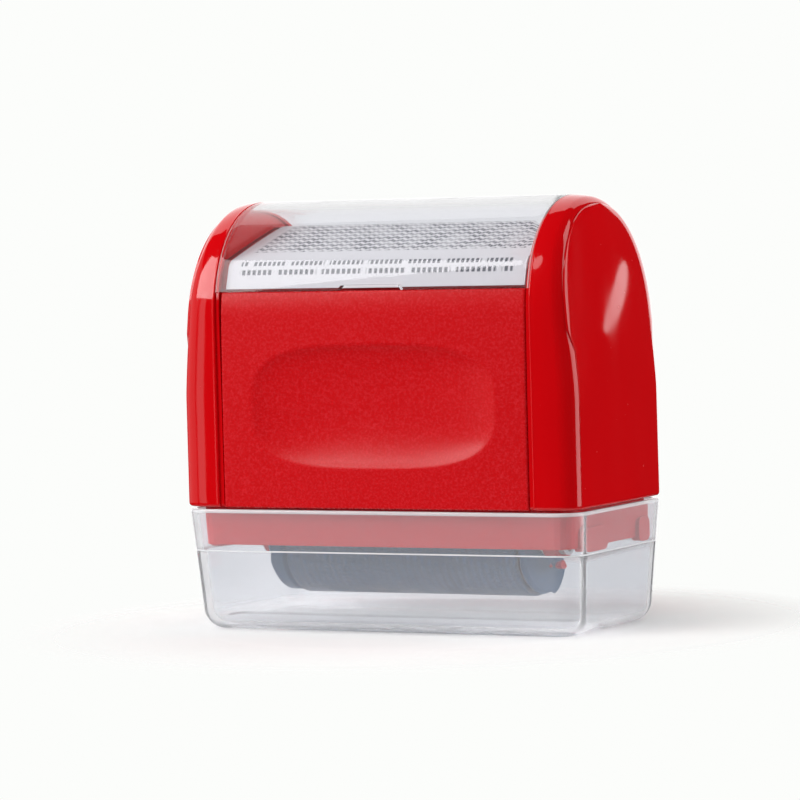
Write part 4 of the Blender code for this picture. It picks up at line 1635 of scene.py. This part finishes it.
@dataclass(frozen=True)
class Studio:
    """The pale floor, the surroundings, the lights and the camera.

    Attributes:
        pale: The colour of the backdrop.
        beyond: Its colour through clear plastic.
        diffuse: How bright the surroundings are for matte surfaces.
        gloss: How bright they are in reflections.
        inner: How bright they are in reflections inside clear plastic.
        floor_radius: The floor's radius in millimetres.
        floor_level: Its height in millimetres.
        fade: How far from the middle the floor starts to fade, and has faded, in metres.
        azimuth: Where the camera stands round the stamp, in degrees.
        elevation: How high it stands, in degrees.
        roll: Its turn about its own axis, in degrees.
        distance: How far it stands from its target, in metres.
        focal_pixels: Its focal length in pixels.
        picture_width: The picture's width in pixels.
        sensor_width: The sensor's width in millimetres.
        near: The nearest place that it sees, in metres.
        target: The point that it faces, in metres.
    """

    pale: Colour = (0.973, 0.982, 0.965)
    beyond: Colour = (0.82, 0.83, 0.86)
    diffuse: float = 0.57
    gloss: float = 0.02
    inner: float = 0.74
    floor_radius: float = 160.0
    floor_level: float = -0.1
    fade: tuple[float, float] = (0.031, 0.060)
    azimuth: float = 27.99
    elevation: float = 3.03
    roll: float = -1.67
    distance: float = 0.60653
    focal_pixels: float = 4304.21
    picture_width: float = 800.0
    sensor_width: float = 36.0
    near: float = 0.01
    target: Place = (-0.00331, 0.0, 0.03167)

    def world(self) -> None:
        """Surroundings: pale behind the stamp, dim in reflections, soft for matte surfaces."""
        world = bpy.data.worlds.new("studio")
        bpy.context.scene.world = world
        world.use_nodes = True
        wiring = Wiring(world.node_tree)
        rays = wiring.node("LightPath", {}).outputs
        turned = wiring.maths("GREATER_THAN", rays["Glossy Depth"], 0.5)
        through = wiring.blend(turned, self.beyond, (self.inner,) * 3)
        dim = wiring.blend(rays["Is Glossy Ray"], (self.diffuse,) * 3, (self.gloss,) * 3)
        shade = wiring.blend(rays["Is Transmission Ray"], dim, through)
        shade = wiring.blend(rays["Is Camera Ray"], shade, self.pale)
        wiring.close(wiring.node("Background", {"Color": shade}).outputs[0], "OutputWorld")

    def floor(self) -> None:
        """A round pale floor whose edge fades away, and which stays under the cap."""
        radius = np.linspace(0, self.floor_radius, 24)[:, None]
        angle = np.linspace(0, 2 * np.pi, 96, endpoint=False)[None, :]
        x, y = radius * np.cos(angle), radius * np.sin(angle)
        points = np.stack([x, y, np.full_like(x, self.floor_level)], axis=-1)
        mesh = bpy.data.meshes.new("floor")
        mesh.from_pydata(points.reshape(-1, 3) * METRES, [], Lattice(points).faces())
        made = bpy.data.objects.new("floor", mesh)
        bpy.context.scene.collection.objects.link(made)
        surface = bpy.data.materials.new("pale_floor")
        surface.use_nodes = True
        wiring = Wiring(surface.node_tree)
        away = wiring.node("VectorMath", {0: wiring.place()}, operation="LENGTH").outputs["Value"]
        colour = wiring.blend(wiring.noise(400, 3), (0.93, 0.93, 0.93), (0.95, 0.95, 0.945))
        paper = wiring.node("BsdfDiffuse", {"Color": colour, "Roughness": 0.6}).outputs[0]
        clear = wiring.node("BsdfTransparent", {}).outputs[0]
        share = wiring.spread(away, *self.fade)
        wiring.close(wiring.node("MixShader", {0: share, 1: paper, 2: clear}).outputs[0])
        mesh.materials.append(surface)
        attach(made, "cap")

    def lights(self) -> list[Softbox]:
        """The studio's lights: three that light the stamp, and others that only its gloss shows."""
        shine = {"mirrored": True, "lights": False}
        lamp = {**shine, "shape": "ELLIPSE"}
        return [
            Softbox("key_softbox", around(-46, 28, 0.50), (0.23, 0.27), 1.15, mirrored=True),
            Softbox("front_fill", around(-40, 35, 0.7), (0.5, 0.4), 1.5),
            Softbox("right_fill", around(128, 15, 0.8), (0.5, 0.5), 3.4),
            Softbox("right_strip", around(109, 20, 0.8), (0.34, 1.10), 3.2, **shine),
            Softbox("left_strip", around(-44, 0, 0.8), (0.085, 0.5), 0.13, **shine),
            Softbox("left_wall", around(-78, 8, 0.8), (0.88, 0.7), 0.9, **shine),
            Softbox("back_sweep", around(208, 27, 1.0), (1.55, 1.6), 10.6, **shine),
            Softbox("small_lamp", (-0.168, -0.427, 0.441), (0.09, 0.15), 0.11, roll=-15, **lamp),
            Softbox("narrow_lamp", (0.2557, 0.5006, 0.0707), (0.0986, 0.0205), 0.0108, roll=25.7, **lamp),
        ]

    def camera(self) -> None:
        """The camera, from its azimuth, elevation, roll and distance about a target."""
        a, r = math.radians(self.azimuth), math.radians(self.roll)
        back = towards(self.azimuth, self.elevation)
        right = Vector((math.cos(a), math.sin(a), 0))
        up = back.cross(right)
        across = math.cos(r) * right + math.sin(r) * up
        upward = -math.sin(r) * right + math.cos(r) * up
        lens = bpy.data.cameras.new("camera")
        lens.sensor_width = self.sensor_width
        lens.lens = self.focal_pixels / self.picture_width * self.sensor_width
        lens.clip_start = self.near
        made = bpy.data.objects.new("camera", lens)
        turn = Matrix((across, upward, back)).transposed().to_4x4()
        turn.translation = Vector(self.target) + back * self.distance
        made.matrix_world = turn
        bpy.context.scene.collection.objects.link(made)
        bpy.context.scene.camera = made

    def build(self) -> None:
        """Makes the studio."""
        bpy.context.scene.view_settings.view_transform = "Standard"
        self.world()
        self.floor()
        for light in self.lights():
            light.build()
        self.camera()


def main() -> None:
    """Builds the stamp's sub-assemblies and the studio in order."""
    logging.basicConfig(level=logging.INFO, format="%(message)s")
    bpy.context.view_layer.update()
    housing = Housing()
    for side in Side:
        Cheek("housing", side, CheekForm(housing)).build()
    for face in Face:
        GripPanel("housing", face, housing).build()
    SubAssembly.dress("inner_shell", FRAME_RED)
    SubAssembly.dress("frame", FRAME_RED)
    AddressCard("housing").build()
    Window("window", housing).build()
    Roller("roller").build()
    DustCap("cap").build()
    Studio().build()


if __name__ == "__main__":
    main()
